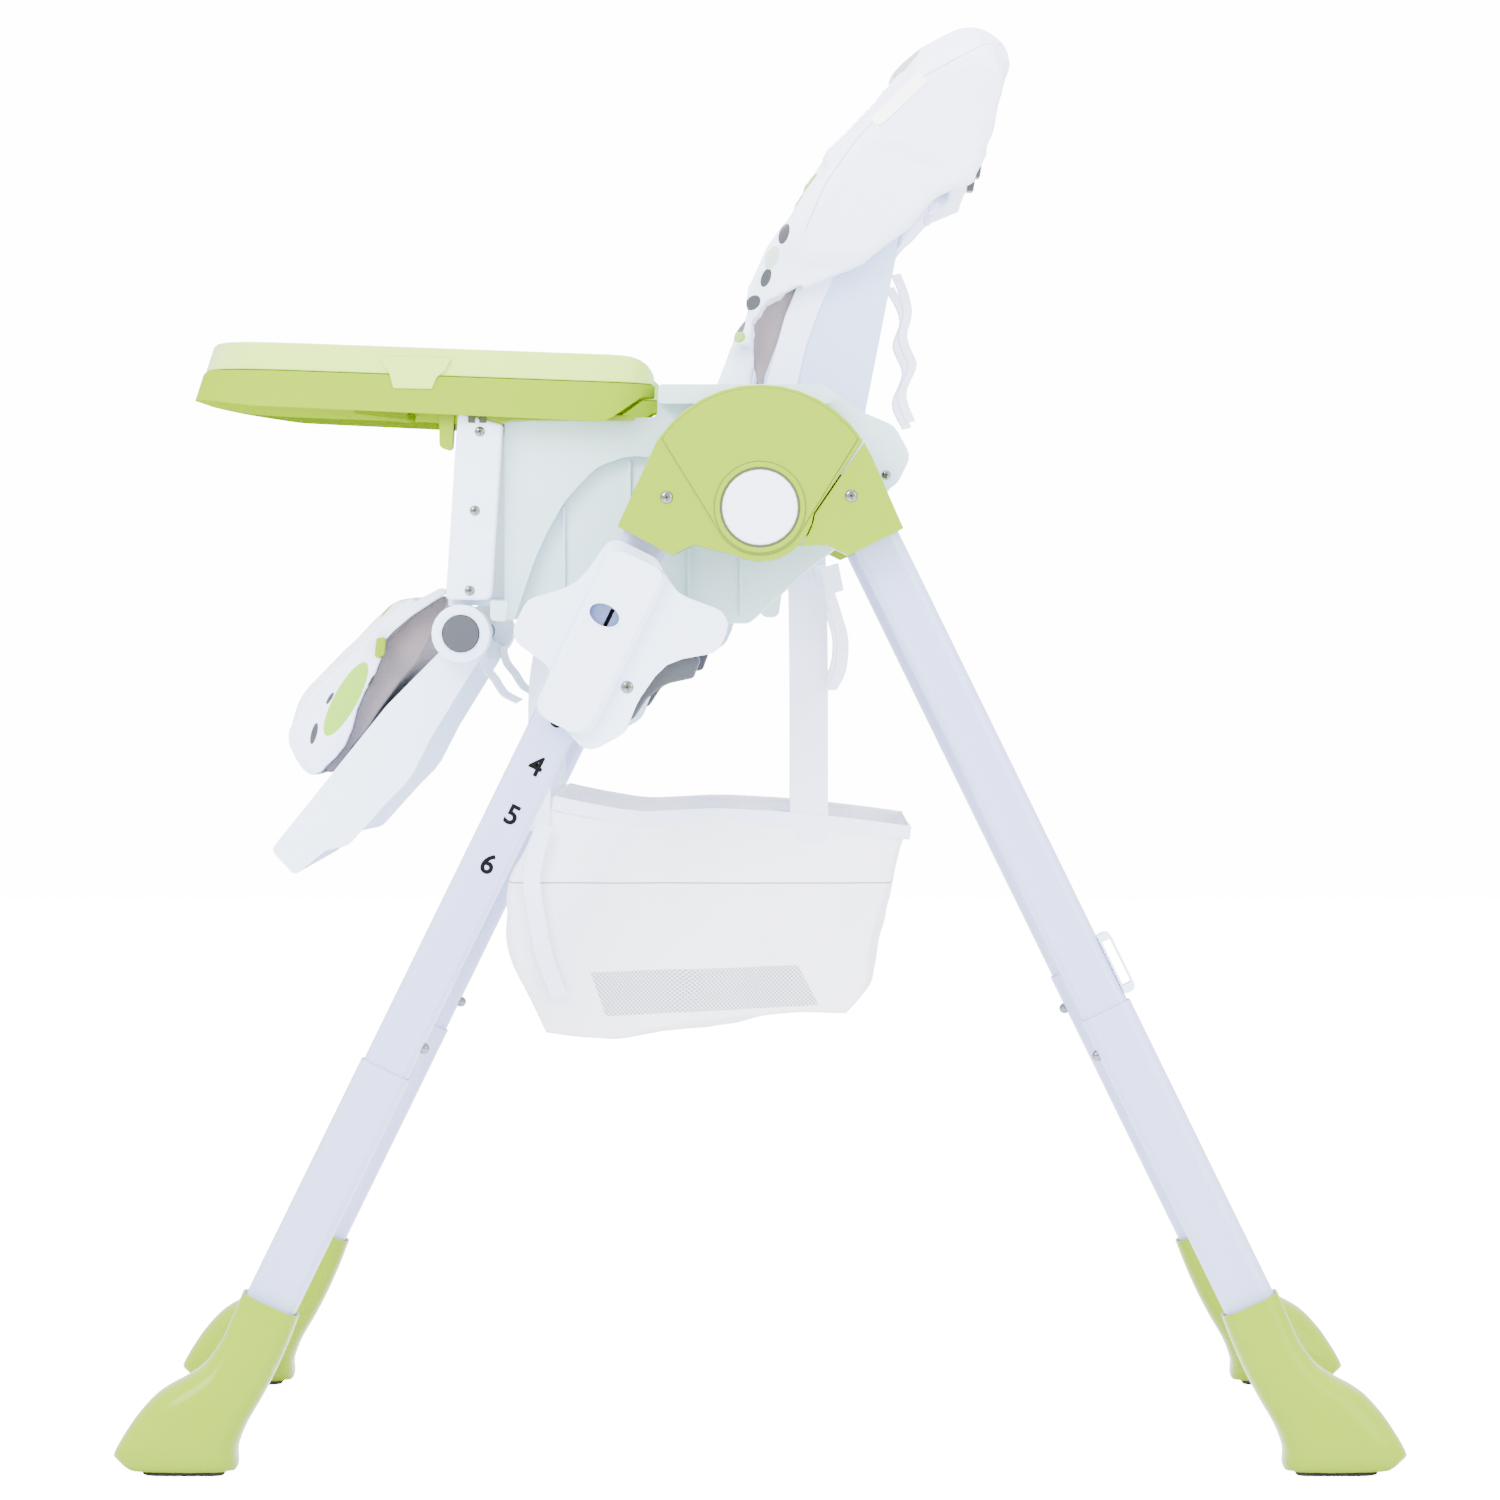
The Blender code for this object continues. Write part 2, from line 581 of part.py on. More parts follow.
def make_seat_cushion(build):
    """Padded cushion on the floor of the bucket."""
    profile = rounded([(-0.1760, 0.6300, 0.008), (-0.1760, 0.6085, 0.006),
                       (-0.0120, 0.6075, 0.006), (0.0200, 0.6400, 0.006),
                       (0.0100, 0.6460, 0.006), (-0.0200, 0.6330, 0.02)])
    build.piece("seat_cushion", prism(profile, -0.160, 0.160), "seat", "print_fabric")


def make_buckle(build):
    """Harness buckle that lies on the seat cushion."""
    shape = rounded([(-0.105, -0.026, 0.008), (-0.062, -0.022, 0.010),
                     (-0.062, 0.022, 0.010), (-0.105, 0.026, 0.008)])
    build.piece("harness_buckle", slab(shape, 0.6420, 0.6540), "seat", "grey_plastic")


BASKET_OUTER = (
    (-0.152, 0.4830, 0.0), (-0.181, 0.4190, 0.02), (-0.166, 0.3300, 0.010),
    (-0.155, 0.3050, 0.012), (-0.090, 0.3055, 0.0), (-0.033, 0.3100, 0.0),
    (0.065, 0.3190, 0.010), (0.0770, 0.3600, 0.0), (0.0950, 0.4080, 0.0),
    (0.1090, 0.4600, 0.0), (0.0470, 0.4715, 0.0), (-0.033, 0.4750, 0.0),
    (-0.097, 0.4740, 0.0),
)
BASKET_INNER = (
    (-0.147, 0.4950, 0.0), (-0.176, 0.4190, 0.02), (-0.161, 0.3310, 0.010),
    (-0.150, 0.3095, 0.010), (-0.090, 0.3100, 0.0), (-0.033, 0.3145, 0.0),
    (0.0605, 0.3230, 0.010), (0.0720, 0.3620, 0.0), (0.0900, 0.4095, 0.0),
    (0.1060, 0.4950, 0.0),
)


def make_basket(build):
    """Fabric storage basket, open above, which hangs under the seat."""
    basket = build.piece("basket", prism(rounded(BASKET_OUTER), -BASKET_HALF, BASKET_HALF),
                         "seat", "mesh_fabric")
    build.cut(basket, prism(rounded(BASKET_INNER), 0.0045 - BASKET_HALF,
                            BASKET_HALF - 0.0045))


# ---------------------------------------------------------------- backrest

BACK_REAR = ((0.0640, 0.6790), (0.0760, 0.7545), (0.1040, 0.8960), (0.1210, 0.9320),
             (0.1440, 0.9650), (0.1600, 1.0020))
BACK_FRONT = ((0.1340, 1.0080), (0.1100, 0.9780), (0.0780, 0.9420), (0.0480, 0.8950),
              (0.0290, 0.8480), (0.0020, 0.7760), (0.0100, 0.7250), (0.0380, 0.6790))


def shifted(points, dx, dz):
    return [(x + dx, z + dz) for x, z in points]


def back_outline(grow=0.0):
    """Side view of the backrest shell."""
    front = shifted(BACK_FRONT, -grow, grow)
    rear = shifted(BACK_REAR, grow, grow)
    return rounded([(x, z, 0.010) for x, z in rear + front], 0.6)


def make_backrest(build):
    """Moulded backrest: two wings joined by a plate, with a recess in its back."""
    shell = build.piece("backrest_shell", prism(back_outline(), -BACK_HALF, BACK_HALF),
                        "backrest", "white_plastic")
    plate_front = shifted(BACK_REAR, -0.0210, -0.0060)
    plate_back = shifted(BACK_REAR, -0.0170, -0.0060)
    pocket = plate_front + [(0.10, 1.06), (-0.06, 0.90), (-0.06, 0.60), (0.04, 0.60)]
    build.cut(shell, prism(pocket, 0.005 - BACK_HALF, BACK_HALF - 0.005))
    recess = list(reversed(plate_back[1:])) + [(0.060, 0.66), (0.22, 0.66), (0.24, 0.96)]
    build.cut(shell, prism(recess, 0.010 - BACK_HALF, BACK_HALF - 0.010))
    build.cut(shell, rod((RECLINE_AXIS[0], RECLINE_AXIS[2]), 0.0065, -0.17, 0.17))
    make_cover(build)
    make_back_pad(build)
    make_recline_lever(build)


COVER_OUTLINE = (
    (-0.0179, 0.8034), (-0.0079, 0.8354), (0.0060, 0.8662), (0.0205, 0.8993),
    (0.0389, 0.9284), (0.0598, 0.9534), (0.0808, 0.9763), (0.1013, 0.9992),
    (0.1236, 1.0291), (0.1476, 1.0421), (0.1635, 1.0431), (0.1775, 1.0341),
    (0.1844, 1.0231), (0.1775, 0.9932), (0.1605, 0.9404), (0.1326, 0.9255),
    (0.1047, 0.8926), (0.0768, 0.8686), (0.0349, 0.8467), (0.0040, 0.8248),
    (-0.0059, 0.8098),
)
COVER_DROP = ((-HOOD_HALF, 0.020), (-0.165, 0.010), (-0.145, 0.005), (-0.110, 0.002),
              (0.0, 0.0), (0.110, 0.002), (0.145, 0.005), (0.165, 0.010),
              (HOOD_HALF, 0.020))
COVER_NARROWS_TO = (0.014, 0.617)
DOME_START = 0.86
DOME_RISE = 0.15
COVER_TAPER = 4.55


def make_cover(build):
    """Fabric hood pulled down over the backrest, open in front of the sitter."""
    rings = []
    for y, drop in COVER_DROP:
        narrow = 1 - abs(y) / COVER_TAPER
        ring = []
        for x, z in COVER_OUTLINE:
            share = min(max((z - DOME_START) / DOME_RISE, 0.0), 1.0)
            ring.append((COVER_NARROWS_TO[0] + (x - COVER_NARROWS_TO[0]) * narrow, y,
                         COVER_NARROWS_TO[1] + (z - COVER_NARROWS_TO[1]) * narrow
                         - drop * share))
        rings.append(ring)
    cover = build.piece("backrest_cover", loft(rings, "cover"), "backrest", "print_fabric")
    flap = rounded([(-0.0170, 0.8120, 0.0), (-0.0330, 0.7700, 0.01), (-0.0375, 0.7440, 0.006),
                    (-0.0080, 0.7440, 0.006), (-0.0065, 0.7800, 0.01), (0.0080, 0.8200, 0.0)])
    for side in (-1, 1):
        build.join(cover, prism(flap, *across(side, 0.1420, 0.1640)))
    build.cut(cover, prism(back_outline(0.0012), -BACK_HALF - 0.0012, BACK_HALF + 0.0012))
    opening = [(-0.10, 0.72), (0.06, 0.72), (0.156, 0.960), (0.128, 0.9860),
               (0.098, 1.0050), (0.040, 1.06), (-0.10, 1.0)]
    build.cut(cover, prism(rounded([(x, z, 0.02) for x, z in opening]), -0.136, 0.136))


def make_back_pad(build):
    """Pad that lines the backrest, from the seat up to the head."""
    back = shifted(BACK_REAR[:5], -0.0225, -0.0060)
    front = shifted(reversed(BACK_REAR[:5]), -0.0360, 0.0025)
    outline = [(x, max(z, 0.690)) for x, z in back + front]
    build.piece("back_pad", prism(rounded([(x, z, 0.004) for x, z in outline], 0.8),
                                  -0.150, 0.150), "backrest", "print_fabric")


def make_recline_lever(build):
    """Handle in the back recess that frees the recline."""
    shape = [(0.0830, 0.8320, 0.002), (0.0780, 0.8280, 0.001), (0.0750, 0.7900, 0.001),
             (0.0790, 0.7880, 0.001), (0.0850, 0.8180, 0.002), (0.0880, 0.8310, 0.002)]
    build.piece("recline_lever", prism(rounded(shape), -0.032, 0.032), "recline_lever",
                "grey_plastic")


# ---------------------------------------------------------------- footrest

FOOTREST_CORNERS = (
    (-0.2296, 0.5803, 0.004), (-0.2684, 0.5410, 0.02), (-0.2960, 0.5060, 0.02),
    (-0.3515, 0.4377, 0.005), (-0.3343, 0.4191, 0.004), (-0.3121, 0.4373, 0.01),
    (-0.2960, 0.4406, 0.010), (-0.2684, 0.4714, 0.03), (-0.2519, 0.4879, 0.03),
    (-0.2361, 0.5187, 0.02), (-0.1985, 0.5800, 0.004), (-0.2100, 0.5860, 0.0),
)
FOOTREST_HALF = 0.190
EYE_OUTER = 0.0208


def make_footrest(build):
    """Leg rest board with an eye at each side that turns on the footrest axle."""
    centre = (FOOTREST_AXIS[0], FOOTREST_AXIS[2])
    board = build.piece("footrest_board",
                        prism(rounded(FOOTREST_CORNERS), -FOOTREST_HALF, FOOTREST_HALF),
                        "footrest", "white_plastic")
    hollow = [(-0.2220, 0.5760), (-0.2650, 0.5340), (-0.2915, 0.5015), (-0.3430, 0.4380),
              (-0.3250, 0.4150), (-0.2600, 0.4300), (-0.1500, 0.5500)]
    build.cut(board, prism(hollow, 0.006 - FOOTREST_HALF, FOOTREST_HALF - 0.006))
    build.cut(board, box((-0.26, -0.162, 0.560), (-0.17, 0.162, 0.62)))
    for side in (-1, 1):
        build.join(board, rod(centre, EYE_OUTER, *across(side, 0.1720, 0.2130), 24))
    build.cut(board, rod(centre, 0.0065, -0.2000, 0.2000))
    for side_name, side in SIDES:
        build.cut(board, rod(centre, 0.0136, *across(side, 0.2020, 0.2200), 24))
        cap = rod(centre, 0.0130, *across(side, 0.2085, 0.2150), 24)
        button = build.piece(f"footrest_button_{side_name}", cap,
                             f"footrest_button_{side_name}", "grey_plastic")
        build.join(button, rod(centre, 0.0080, *across(side, 0.2062, 0.2090)))


def make_calf_pad(build):
    """Padded flap that arches over the leg rest, in front of the calves."""
    outer = [(-0.2500, 0.6210), (-0.2620, 0.6130), (-0.2940, 0.5810), (-0.3290, 0.5450),
             (-0.3400, 0.5240), (-0.3410, 0.5130), (-0.3330, 0.4970), (-0.3250, 0.4895)]
    inner = [(-0.3165, 0.4905), (-0.3190, 0.4990), (-0.3270, 0.5160), (-0.3260, 0.5270),
             (-0.3170, 0.5410), (-0.2860, 0.5720), (-0.2560, 0.6030), (-0.2460, 0.6110)]
    build.piece("calf_pad", prism(outer + inner, -0.160, 0.160), "footrest", "print_fabric")


# ---------------------------------------------------------------- tray

def tray_plan(shrink=0.0):
    """Plan view of the tray: bowed front, two arms and a recess for the sitter."""
    half = TRAY_HALF - shrink
    front = TRAY_FRONT + shrink
    back = -0.0770 - shrink
    return rounded([
        (front, -0.110, 0.25), (front + 0.030, -half, 0.075), (back, -half, 0.030),
        (back, -0.150 - shrink, 0.022), (-0.175 - shrink, -0.135, 0.060),
        (-0.190 - shrink, 0.0, 0.40), (-0.175 - shrink, 0.135, 0.060),
        (back, 0.150 + shrink, 0.022), (back, half, 0.030), (front + 0.030, half, 0.075),
        (front, 0.110, 0.25)], 0.3)


def dish_plan(shrink):
    """Plan view of the hollow of the tray, inside its rim."""
    half = TRAY_HALF - shrink
    front = TRAY_FRONT + shrink
    back = -0.2020 - shrink
    return rounded([(front, -0.110, 0.25), (front + 0.030, -half, 0.060),
                    (back, -half, 0.030), (back, half, 0.030),
                    (front + 0.030, half, 0.060), (front, 0.110, 0.25)], 0.3)


def arm_plan(side):
    """Plan view of the hollow under one arm of the tray."""
    inner, outer = side * 0.1570, side * (TRAY_HALF - 0.0050)
    return rounded([(-0.1940, inner, 0.008), (-0.0860, inner, 0.020),
                    (-0.0860, outer, 0.028), (-0.1940, outer, 0.008)])


def tilted(mesh):
    """Leans a tray piece down towards the back, about the tray's origin."""
    to_origin = Matrix.Translation(-Vector(TRAY_ORIGIN))
    lean = Matrix.Rotation(TRAY_TILT, 4, "Y")
    mesh.transform(to_origin.inverted() @ lean @ to_origin)
    return mesh


TRAY_RIM = 0.7770
INSERT_TOP = 0.7972


def make_tray(build):
    """Lime tray that slides on the rails, and the lift-out insert on top of it."""
    tray = build.piece("tray_base", tilted(slab(tray_plan(), 0.7440, TRAY_RIM)), "tray",
                       "lime_plastic")
    under = rounded([(-0.50, 0.700, 0.0), (-0.44, 0.7600, 0.0), (-0.36, 0.7515, 0.06),
                     (-0.110, 0.7490, 0.015), (-0.085, 0.7680, 0.008), (-0.060, 0.7700, 0.0),
                     (-0.060, 0.700, 0.0)])
    build.cut(tray, tilted(prism(under, -0.26, 0.26)))
    build.cut(tray, tilted(slab(tray_plan(0.0035), 0.70, 0.7560)))
    build.cut(tray, tilted(slab(dish_plan(0.0085), 0.7600, 0.80)))
    handle = rounded([(-0.302, 0.7600, 0.0), (-0.302, 0.7530, 0.003), (-0.262, 0.7500, 0.003),
                      (-0.262, 0.7600, 0.0)])
    build.join(tray, tilted(prism(handle, -0.050, 0.050)))
    for side in (-1, 1):
        build.cut(tray, tilted(slab(arm_plan(side), 0.70, TRAY_RIM - 0.0035)))
    insert = build.piece("tray_insert", tilted(slab(tray_plan(0.0012), TRAY_RIM + FIT,
                                                    INSERT_TOP)),
                         "tray_insert", "pale_insert")
    build.join(insert, tilted(slab(dish_plan(0.0095), 0.7612, 0.7800)))
    build.cut(insert, tilted(slab(dish_plan(0.0130), 0.7645, 0.82)))
    for side in (-1, 1):
        build.cut(insert, tilted(slab(arm_plan(side), 0.70, INSERT_TOP - 0.0035)))


def make_tray_latch(build, side_name, side):
    """Squeeze lever that locks the tray in front of a seat post."""
    shape = rounded([(-0.2293, 0.7520, 0.002), (-0.2293, 0.7260, 0.004),
                     (-0.2200, 0.7230, 0.003), (-0.2183, 0.7520, 0.002)])
    build.piece(f"tray_latch_{side_name}", prism(shape, *across(side, 0.1900, 0.2140)),
                f"tray_latch_{side_name}", "lime_plastic")


def main():
    clear_scene()
    build = Builder()
    for side_name, side in SIDES:
        make_legs(build, side_name, side)
        make_feet(build, side_name, side)
        make_tray_hooks(build, side_name, side)
        make_hub(build, side_name, side)
        make_slider(build, side_name, side)
        make_side(build, side_name, side)
        make_tray_latch(build, side_name, side)
    make_crossbars(build)
    make_seat_shell(build)
    make_seat_axles(build)
    make_seat_cushion(build)
    make_buckle(build)
    make_basket(build)
    make_backrest(build)
    make_footrest(build)
    make_calf_pad(build)
    make_tray(build)


main()
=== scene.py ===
"""Looks of the folding high chair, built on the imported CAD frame."""
import json
import math

import bmesh
import bpy
from mathutils import Matrix, Vector, noise
from mathutils.bvhtree import BVHTree


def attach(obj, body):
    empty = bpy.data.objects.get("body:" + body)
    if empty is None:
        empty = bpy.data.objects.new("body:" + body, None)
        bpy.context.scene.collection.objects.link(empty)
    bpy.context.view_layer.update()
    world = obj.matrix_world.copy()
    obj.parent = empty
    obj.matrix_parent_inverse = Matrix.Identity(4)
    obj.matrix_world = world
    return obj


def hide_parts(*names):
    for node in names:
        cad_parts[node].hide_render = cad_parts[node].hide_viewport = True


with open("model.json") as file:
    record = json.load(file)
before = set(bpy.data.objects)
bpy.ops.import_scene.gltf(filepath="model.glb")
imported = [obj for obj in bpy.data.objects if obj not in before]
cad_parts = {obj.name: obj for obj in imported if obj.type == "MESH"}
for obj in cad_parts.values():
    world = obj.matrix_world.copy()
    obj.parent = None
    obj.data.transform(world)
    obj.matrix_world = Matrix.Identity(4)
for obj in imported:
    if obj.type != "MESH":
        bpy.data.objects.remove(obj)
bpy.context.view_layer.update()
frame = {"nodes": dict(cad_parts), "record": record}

SIDES = (("left", -1), ("right", 1))
LEG_ANGLE = math.radians(26.1)
LEG_OFFSET = 0.0588
HUB = (0.0, 0.682)
LEG_START = Vector((-math.cos(LEG_ANGLE) * LEG_OFFSET, HUB[1] + math.sin(LEG_ANGLE) * LEG_OFFSET))
DOWN_LEG = Vector((-math.sin(LEG_ANGLE), -math.cos(LEG_ANGLE)))
OUT_OF_LEG = Vector((-math.cos(LEG_ANGLE), math.sin(LEG_ANGLE)))
BODY_OF = {node: body for body, nodes in frame["record"]["behaviour"]["bodies"].items()
           for node in nodes}
SLOT_OF = {row["node"]: row["material_slot"] for row in frame["record"]["subparts"]}


def leg_point(along, across, rear=False):
    point = LEG_START + DOWN_LEG * along + OUT_OF_LEG * across
    return (-point.x if rear else point.x, point.y)


# ---- materials

def material(name, colour, roughness, metallic=0.0, specular=0.5, coat=0.0, sheen=0.0):
    made = bpy.data.materials.new(name)
    made.use_nodes = True
    sockets = made.node_tree.nodes["Principled BSDF"].inputs
    sockets["Base Color"].default_value = (*colour, 1)
    sockets["Roughness"].default_value = roughness
    sockets["Metallic"].default_value = metallic
    sockets["Specular IOR Level"].default_value = specular
    sockets["Coat Weight"].default_value = coat
    sockets["Coat Roughness"].default_value = 0.05
    sockets["Sheen Weight"].default_value = sheen
    sockets["Sheen Roughness"].default_value = 0.5
    return made


def shader_input(made, name):
    return made.node_tree.nodes["Principled BSDF"].inputs[name]


def link(made, output, socket):
    made.node_tree.links.new(output, socket)


def add_node(made, kind, **values):
    node = made.node_tree.nodes.new(kind)
    for key, value in values.items():
        if key in node.inputs:
            node.inputs[key].default_value = value
        else:
            setattr(node, key, value)
    return node


def calc(made, operation, first, second=None, third=None):
    node = made.node_tree.nodes.new("ShaderNodeMath")
    node.operation = operation
    for index, value in enumerate((first, second, third)):
        if value is None:
            continue
        if isinstance(value, (int, float)):
            node.inputs[index].default_value = value
        else:
            link(made, value, node.inputs[index])
    return node.outputs[0]


def split_axes(made, vector):
    split = add_node(made, "ShaderNodeSeparateXYZ")
    link(made, vector, split.inputs[0])
    return split.outputs


def object_coords(made, scale=(1, 1, 1)):
    coords = add_node(made, "ShaderNodeTexCoord")
    mapping = add_node(made, "ShaderNodeMapping")
    mapping.inputs["Scale"].default_value = scale
    link(made, coords.outputs["Object"], mapping.inputs["Vector"])
    return mapping.outputs["Vector"]


def noise_on(made, vector, scale, detail):
    cloud = add_node(made, "ShaderNodeTexNoise", Scale=scale, Detail=detail)
    link(made, vector, cloud.inputs["Vector"])
    return cloud.outputs["Fac"]


def add_bump(made, height, strength, distance):
    bump = add_node(made, "ShaderNodeBump", Strength=strength, Distance=distance)
    link(made, height, bump.inputs["Height"])
    link(made, bump.outputs["Normal"], shader_input(made, "Normal"))


def mould_grain(made, scale, strength, wear=0.0):
    """Fine grain of a moulded or painted surface, and faint uneven gloss."""
    vector = object_coords(made)
    add_bump(made, noise_on(made, vector, scale, 3.0), strength, 0.0004)
    if wear:
        rough = shader_input(made, "Roughness")
        link(made, calc(made, "MULTIPLY_ADD", noise_on(made, vector, 14.0, 4.0), wear,
                             rough.default_value - wear / 2), rough)


def weave(made, count, strength):
    """Plain weave: threads crossed over each other, with uneven yarn."""
    vector = object_coords(made)
    axes = split_axes(made, vector)
    waves = [calc(made, "SINE", calc(made, "MULTIPLY", axes[axis], count))
             for axis in range(3)]
    total = calc(made, "ADD", calc(made, "ADD", waves[0], waves[1]), waves[2])
    height = calc(made, "MULTIPLY_ADD", noise_on(made, vector, 60.0, 5.0), 1.5, total)
    add_bump(made, height, strength, 0.0006)


LIME = (0.19, 0.3, 0.0005)
PAINTED_SHADE_LIME = (0.075, 0.135, 0.0005)
PRINT_GREY = (0.028, 0.032, 0.044)
PRINT_PALE = (0.33, 0.37, 0.4)
PRINT_GREEN = (0.19, 0.4, 0.01)
FABRIC_WHITE = (0.7, 0.77, 0.98)
MATERIALS = {
    "lime_plastic": material("lime_plastic", LIME, 0.18, specular=0.14),
    "pale_insert": material("pale_insert", (0.43, 0.65, 0.1), 0.16, specular=0.3),
    "white_plastic": material("white_plastic", (0.68, 0.78, 0.98), 0.3),
    "white_tube": material("white_tube", (0.38, 0.44, 0.72), 0.24, coat=0.3),
    "grey_plastic": material("grey_plastic", (0.032, 0.038, 0.048), 0.38),
    "steel_pin": material("steel_pin", (0.2, 0.21, 0.24), 0.16, metallic=1.0),
    "black_rubber": material("black_rubber", (0.02, 0.022, 0.02), 0.75),
}
SEAT_WHITE = material("seat_white", (0.5, 0.68, 0.74), 0.26, coat=0.1)
mould_grain(SEAT_WHITE, 900.0, 0.05, wear=0.08)
mould_grain(MATERIALS["lime_plastic"], 500.0, 0.02, wear=0.06)
mould_grain(MATERIALS["pale_insert"], 600.0, 0.02, wear=0.05)
mould_grain(MATERIALS["white_plastic"], 1400.0, 0.1, wear=0.08)
mould_grain(MATERIALS["white_tube"], 260.0, 0.03, wear=0.06)
mould_grain(MATERIALS["grey_plastic"], 1600.0, 0.15, wear=0.1)
mould_grain(MATERIALS["black_rubber"], 1200.0, 0.3)
# darker lime of painted shade, for the shadow lines round the hub's raised crest and ring
PAINTED_LIME_SHADE = material("painted_lime_shade", PAINTED_SHADE_LIME, 0.35)
LIME_SATIN = material("lime_satin", LIME, 0.45, specular=0.0)
# the shell is a darker, bluer copy of the white plastic: painted shade beside its lighter side band
SHADED_SHELL_WHITE = material("shaded_shell_white", (0.44, 0.55, 0.82), 0.3, coat=0.1)
mould_grain(SHADED_SHELL_WHITE, 1400.0, 0.08, wear=0.06)
BUTTON_WHITE = material("button_white", (0.72, 0.79, 0.98), 0.28, coat=0.1)
TAB_WHITE = material("tab_white", (0.98, 0.98, 0.99), 0.6)
NUMBER_INK = material("number_ink", (0.002, 0.002, 0.003), 0.6, specular=0.08)
# near-black of painted shade, put in gaps, notches and screw recesses
PAINTED_GAP_SHADE = material("painted_gap_shade", (0.045, 0.06, 0.02), 0.6)
LINING_COLOUR = (0.19, 0.155, 0.17)
LINING = material("lining", LINING_COLOUR, 0.85, sheen=0.2)
weave(LINING, 3200.0, 0.12)
WEBBING = material("webbing", (0.72, 0.76, 0.95), 0.78, sheen=0.1)
weave(WEBBING, 2600.0, 0.12)
PLAIN_FABRIC = material("plain_fabric", FABRIC_WHITE, 0.72, sheen=0.15)
weave(PLAIN_FABRIC, 3600.0, 0.1)


def blend_colour(made, factor, first, second):
    mix = add_node(made, "ShaderNodeMix", data_type="RGBA")
    link(made, factor, mix.inputs["Factor"])
    for name, value in (("A", first), ("B", second)):
        socket = [s for s in mix.inputs if s.name == name and s.type == "RGBA"][0]
        if isinstance(value, tuple):
            socket.default_value = (*value, 1)
        else:
            link(made, value, socket)
    return [s for s in mix.outputs if s.type == "RGBA"][0]


def inside_shape(made, vector, corners):
    """1 inside a convex outline in X and Z, given counter-clockwise, and 0 outside it."""
    axes = split_axes(made, vector)
    total = 1.0
    for (x0, z0), (x1, z1) in zip(corners, corners[1:] + corners[:1]):
        a, b = z0 - z1, x1 - x0
        line = calc(made, "MULTIPLY_ADD", axes[0], a, -(a * x0 + b * z0))
        line = calc(made, "MULTIPLY_ADD", axes[2], b, line)
        total = calc(made, "MULTIPLY", calc(made, "GREATER_THAN", line, 0.0), total)
    return total


PRINT_HALF_WIDTH = 0.15
PRINT_STEPS = ((0.3, PRINT_PALE), (0.52, PRINT_GREEN), (0.76, PRINT_GREY))
SEAM_COLOUR = (0.36, 0.4, 0.52)
# painted shade of the fold at the lining's edge
LINING_ROLL_SHADE = (0.1, 0.092, 0.09)


def attribute(made, name):
    node = add_node(made, "ShaderNodeAttribute")
    node.attribute_name = name
    return node.outputs["Fac"]


def within(made, value, reach):
    """1 where a value is closer to zero than its reach."""
    return calc(made, "LESS_THAN", calc(made, "ABSOLUTE", value), reach)


def on_front(made):
    """1 on the faces that look forward, between the two side faces."""
    geometry = add_node(made, "ShaderNodeNewGeometry")
    facing = split_axes(made, geometry.outputs["Normal"])[0]
    front = calc(made, "LESS_THAN", facing, -0.55)
    across = split_axes(made, object_coords(made))[1]
    return calc(made, "MULTIPLY", front, within(made, across, PRINT_HALF_WIDTH))


def in_oval(made, axes, x, z, wide, high, tilt):
    """1 inside a tilted oval of the side view."""
    cos, sin = math.cos(tilt), math.sin(tilt)
    dx = calc(made, "SUBTRACT", axes[0], x)
    dz = calc(made, "SUBTRACT", axes[2], z)
    u = calc(made, "MULTIPLY_ADD", dx, cos / wide,
                  calc(made, "MULTIPLY", dz, sin / wide))
    v = calc(made, "MULTIPLY_ADD", dz, cos / high,
                  calc(made, "MULTIPLY", dx, -sin / high))
    reach = calc(made, "ADD", calc(made, "MULTIPLY", u, u),
                      calc(made, "MULTIPLY", v, v))
    return calc(made, "LESS_THAN", reach, 1.0)


def printed_fabric(name, cell, stretch, front_only, spots=(), lined=False, seamed=False):
    """Coated white fabric with a print of pebble and leaf shapes."""
    made = material(name, FABRIC_WHITE, 0.68, sheen=0.15)
    weave(made, 3600.0, 0.1)
    shape = add_node(made, "ShaderNodeTexVoronoi", feature="F1", Scale=cell, Randomness=0.75)
    link(made, object_coords(made, stretch), shape.inputs["Vector"])
    inside = calc(made, "LESS_THAN", shape.outputs["Distance"], 0.4)
    tint = add_node(made, "ShaderNodeSeparateColor")
    link(made, shape.outputs["Color"], tint.inputs[0])
    colour = FABRIC_WHITE
    for limit, ink in PRINT_STEPS:
        chosen = calc(made, "GREATER_THAN", tint.outputs[0], limit)
        colour = blend_colour(made, chosen, colour, ink)
    if front_only:
        inside = calc(made, "MULTIPLY", inside, on_front(made))
    colour = blend_colour(made, inside, FABRIC_WHITE, colour)
    axes = split_axes(made, object_coords(made)) if spots else None
    for *oval, ink in spots:
        colour = blend_colour(made, in_oval(made, axes, *oval), colour, ink)
    if seamed:
        colour = blend_colour(made, within(made, attribute(made, "line"), 0.45), colour,
                              SEAM_COLOUR)
    if lined:
        share = attribute(made, "lined")
        behind = calc(made, "GREATER_THAN", share, 0.0)
        colour = blend_colour(made, behind, colour, LINING_COLOUR)
        # a darker line along the lining's edge: painted shade where the hem folds under
        edge = within(made, calc(made, "SUBTRACT", share, 0.6), 0.7)
        colour = blend_colour(made, edge, colour, LINING_ROLL_SHADE)
    link(made, colour, shader_input(made, "Base Color"))
    return made


BAND_BOTTOM = 0.4125
CLOTH_WHITE = (0.83, 0.84, 0.95)


WINDOW_SHADE = (0.06, 0.065, 0.1)
BAND_SEAM = (0.3, 0.3, 0.38)


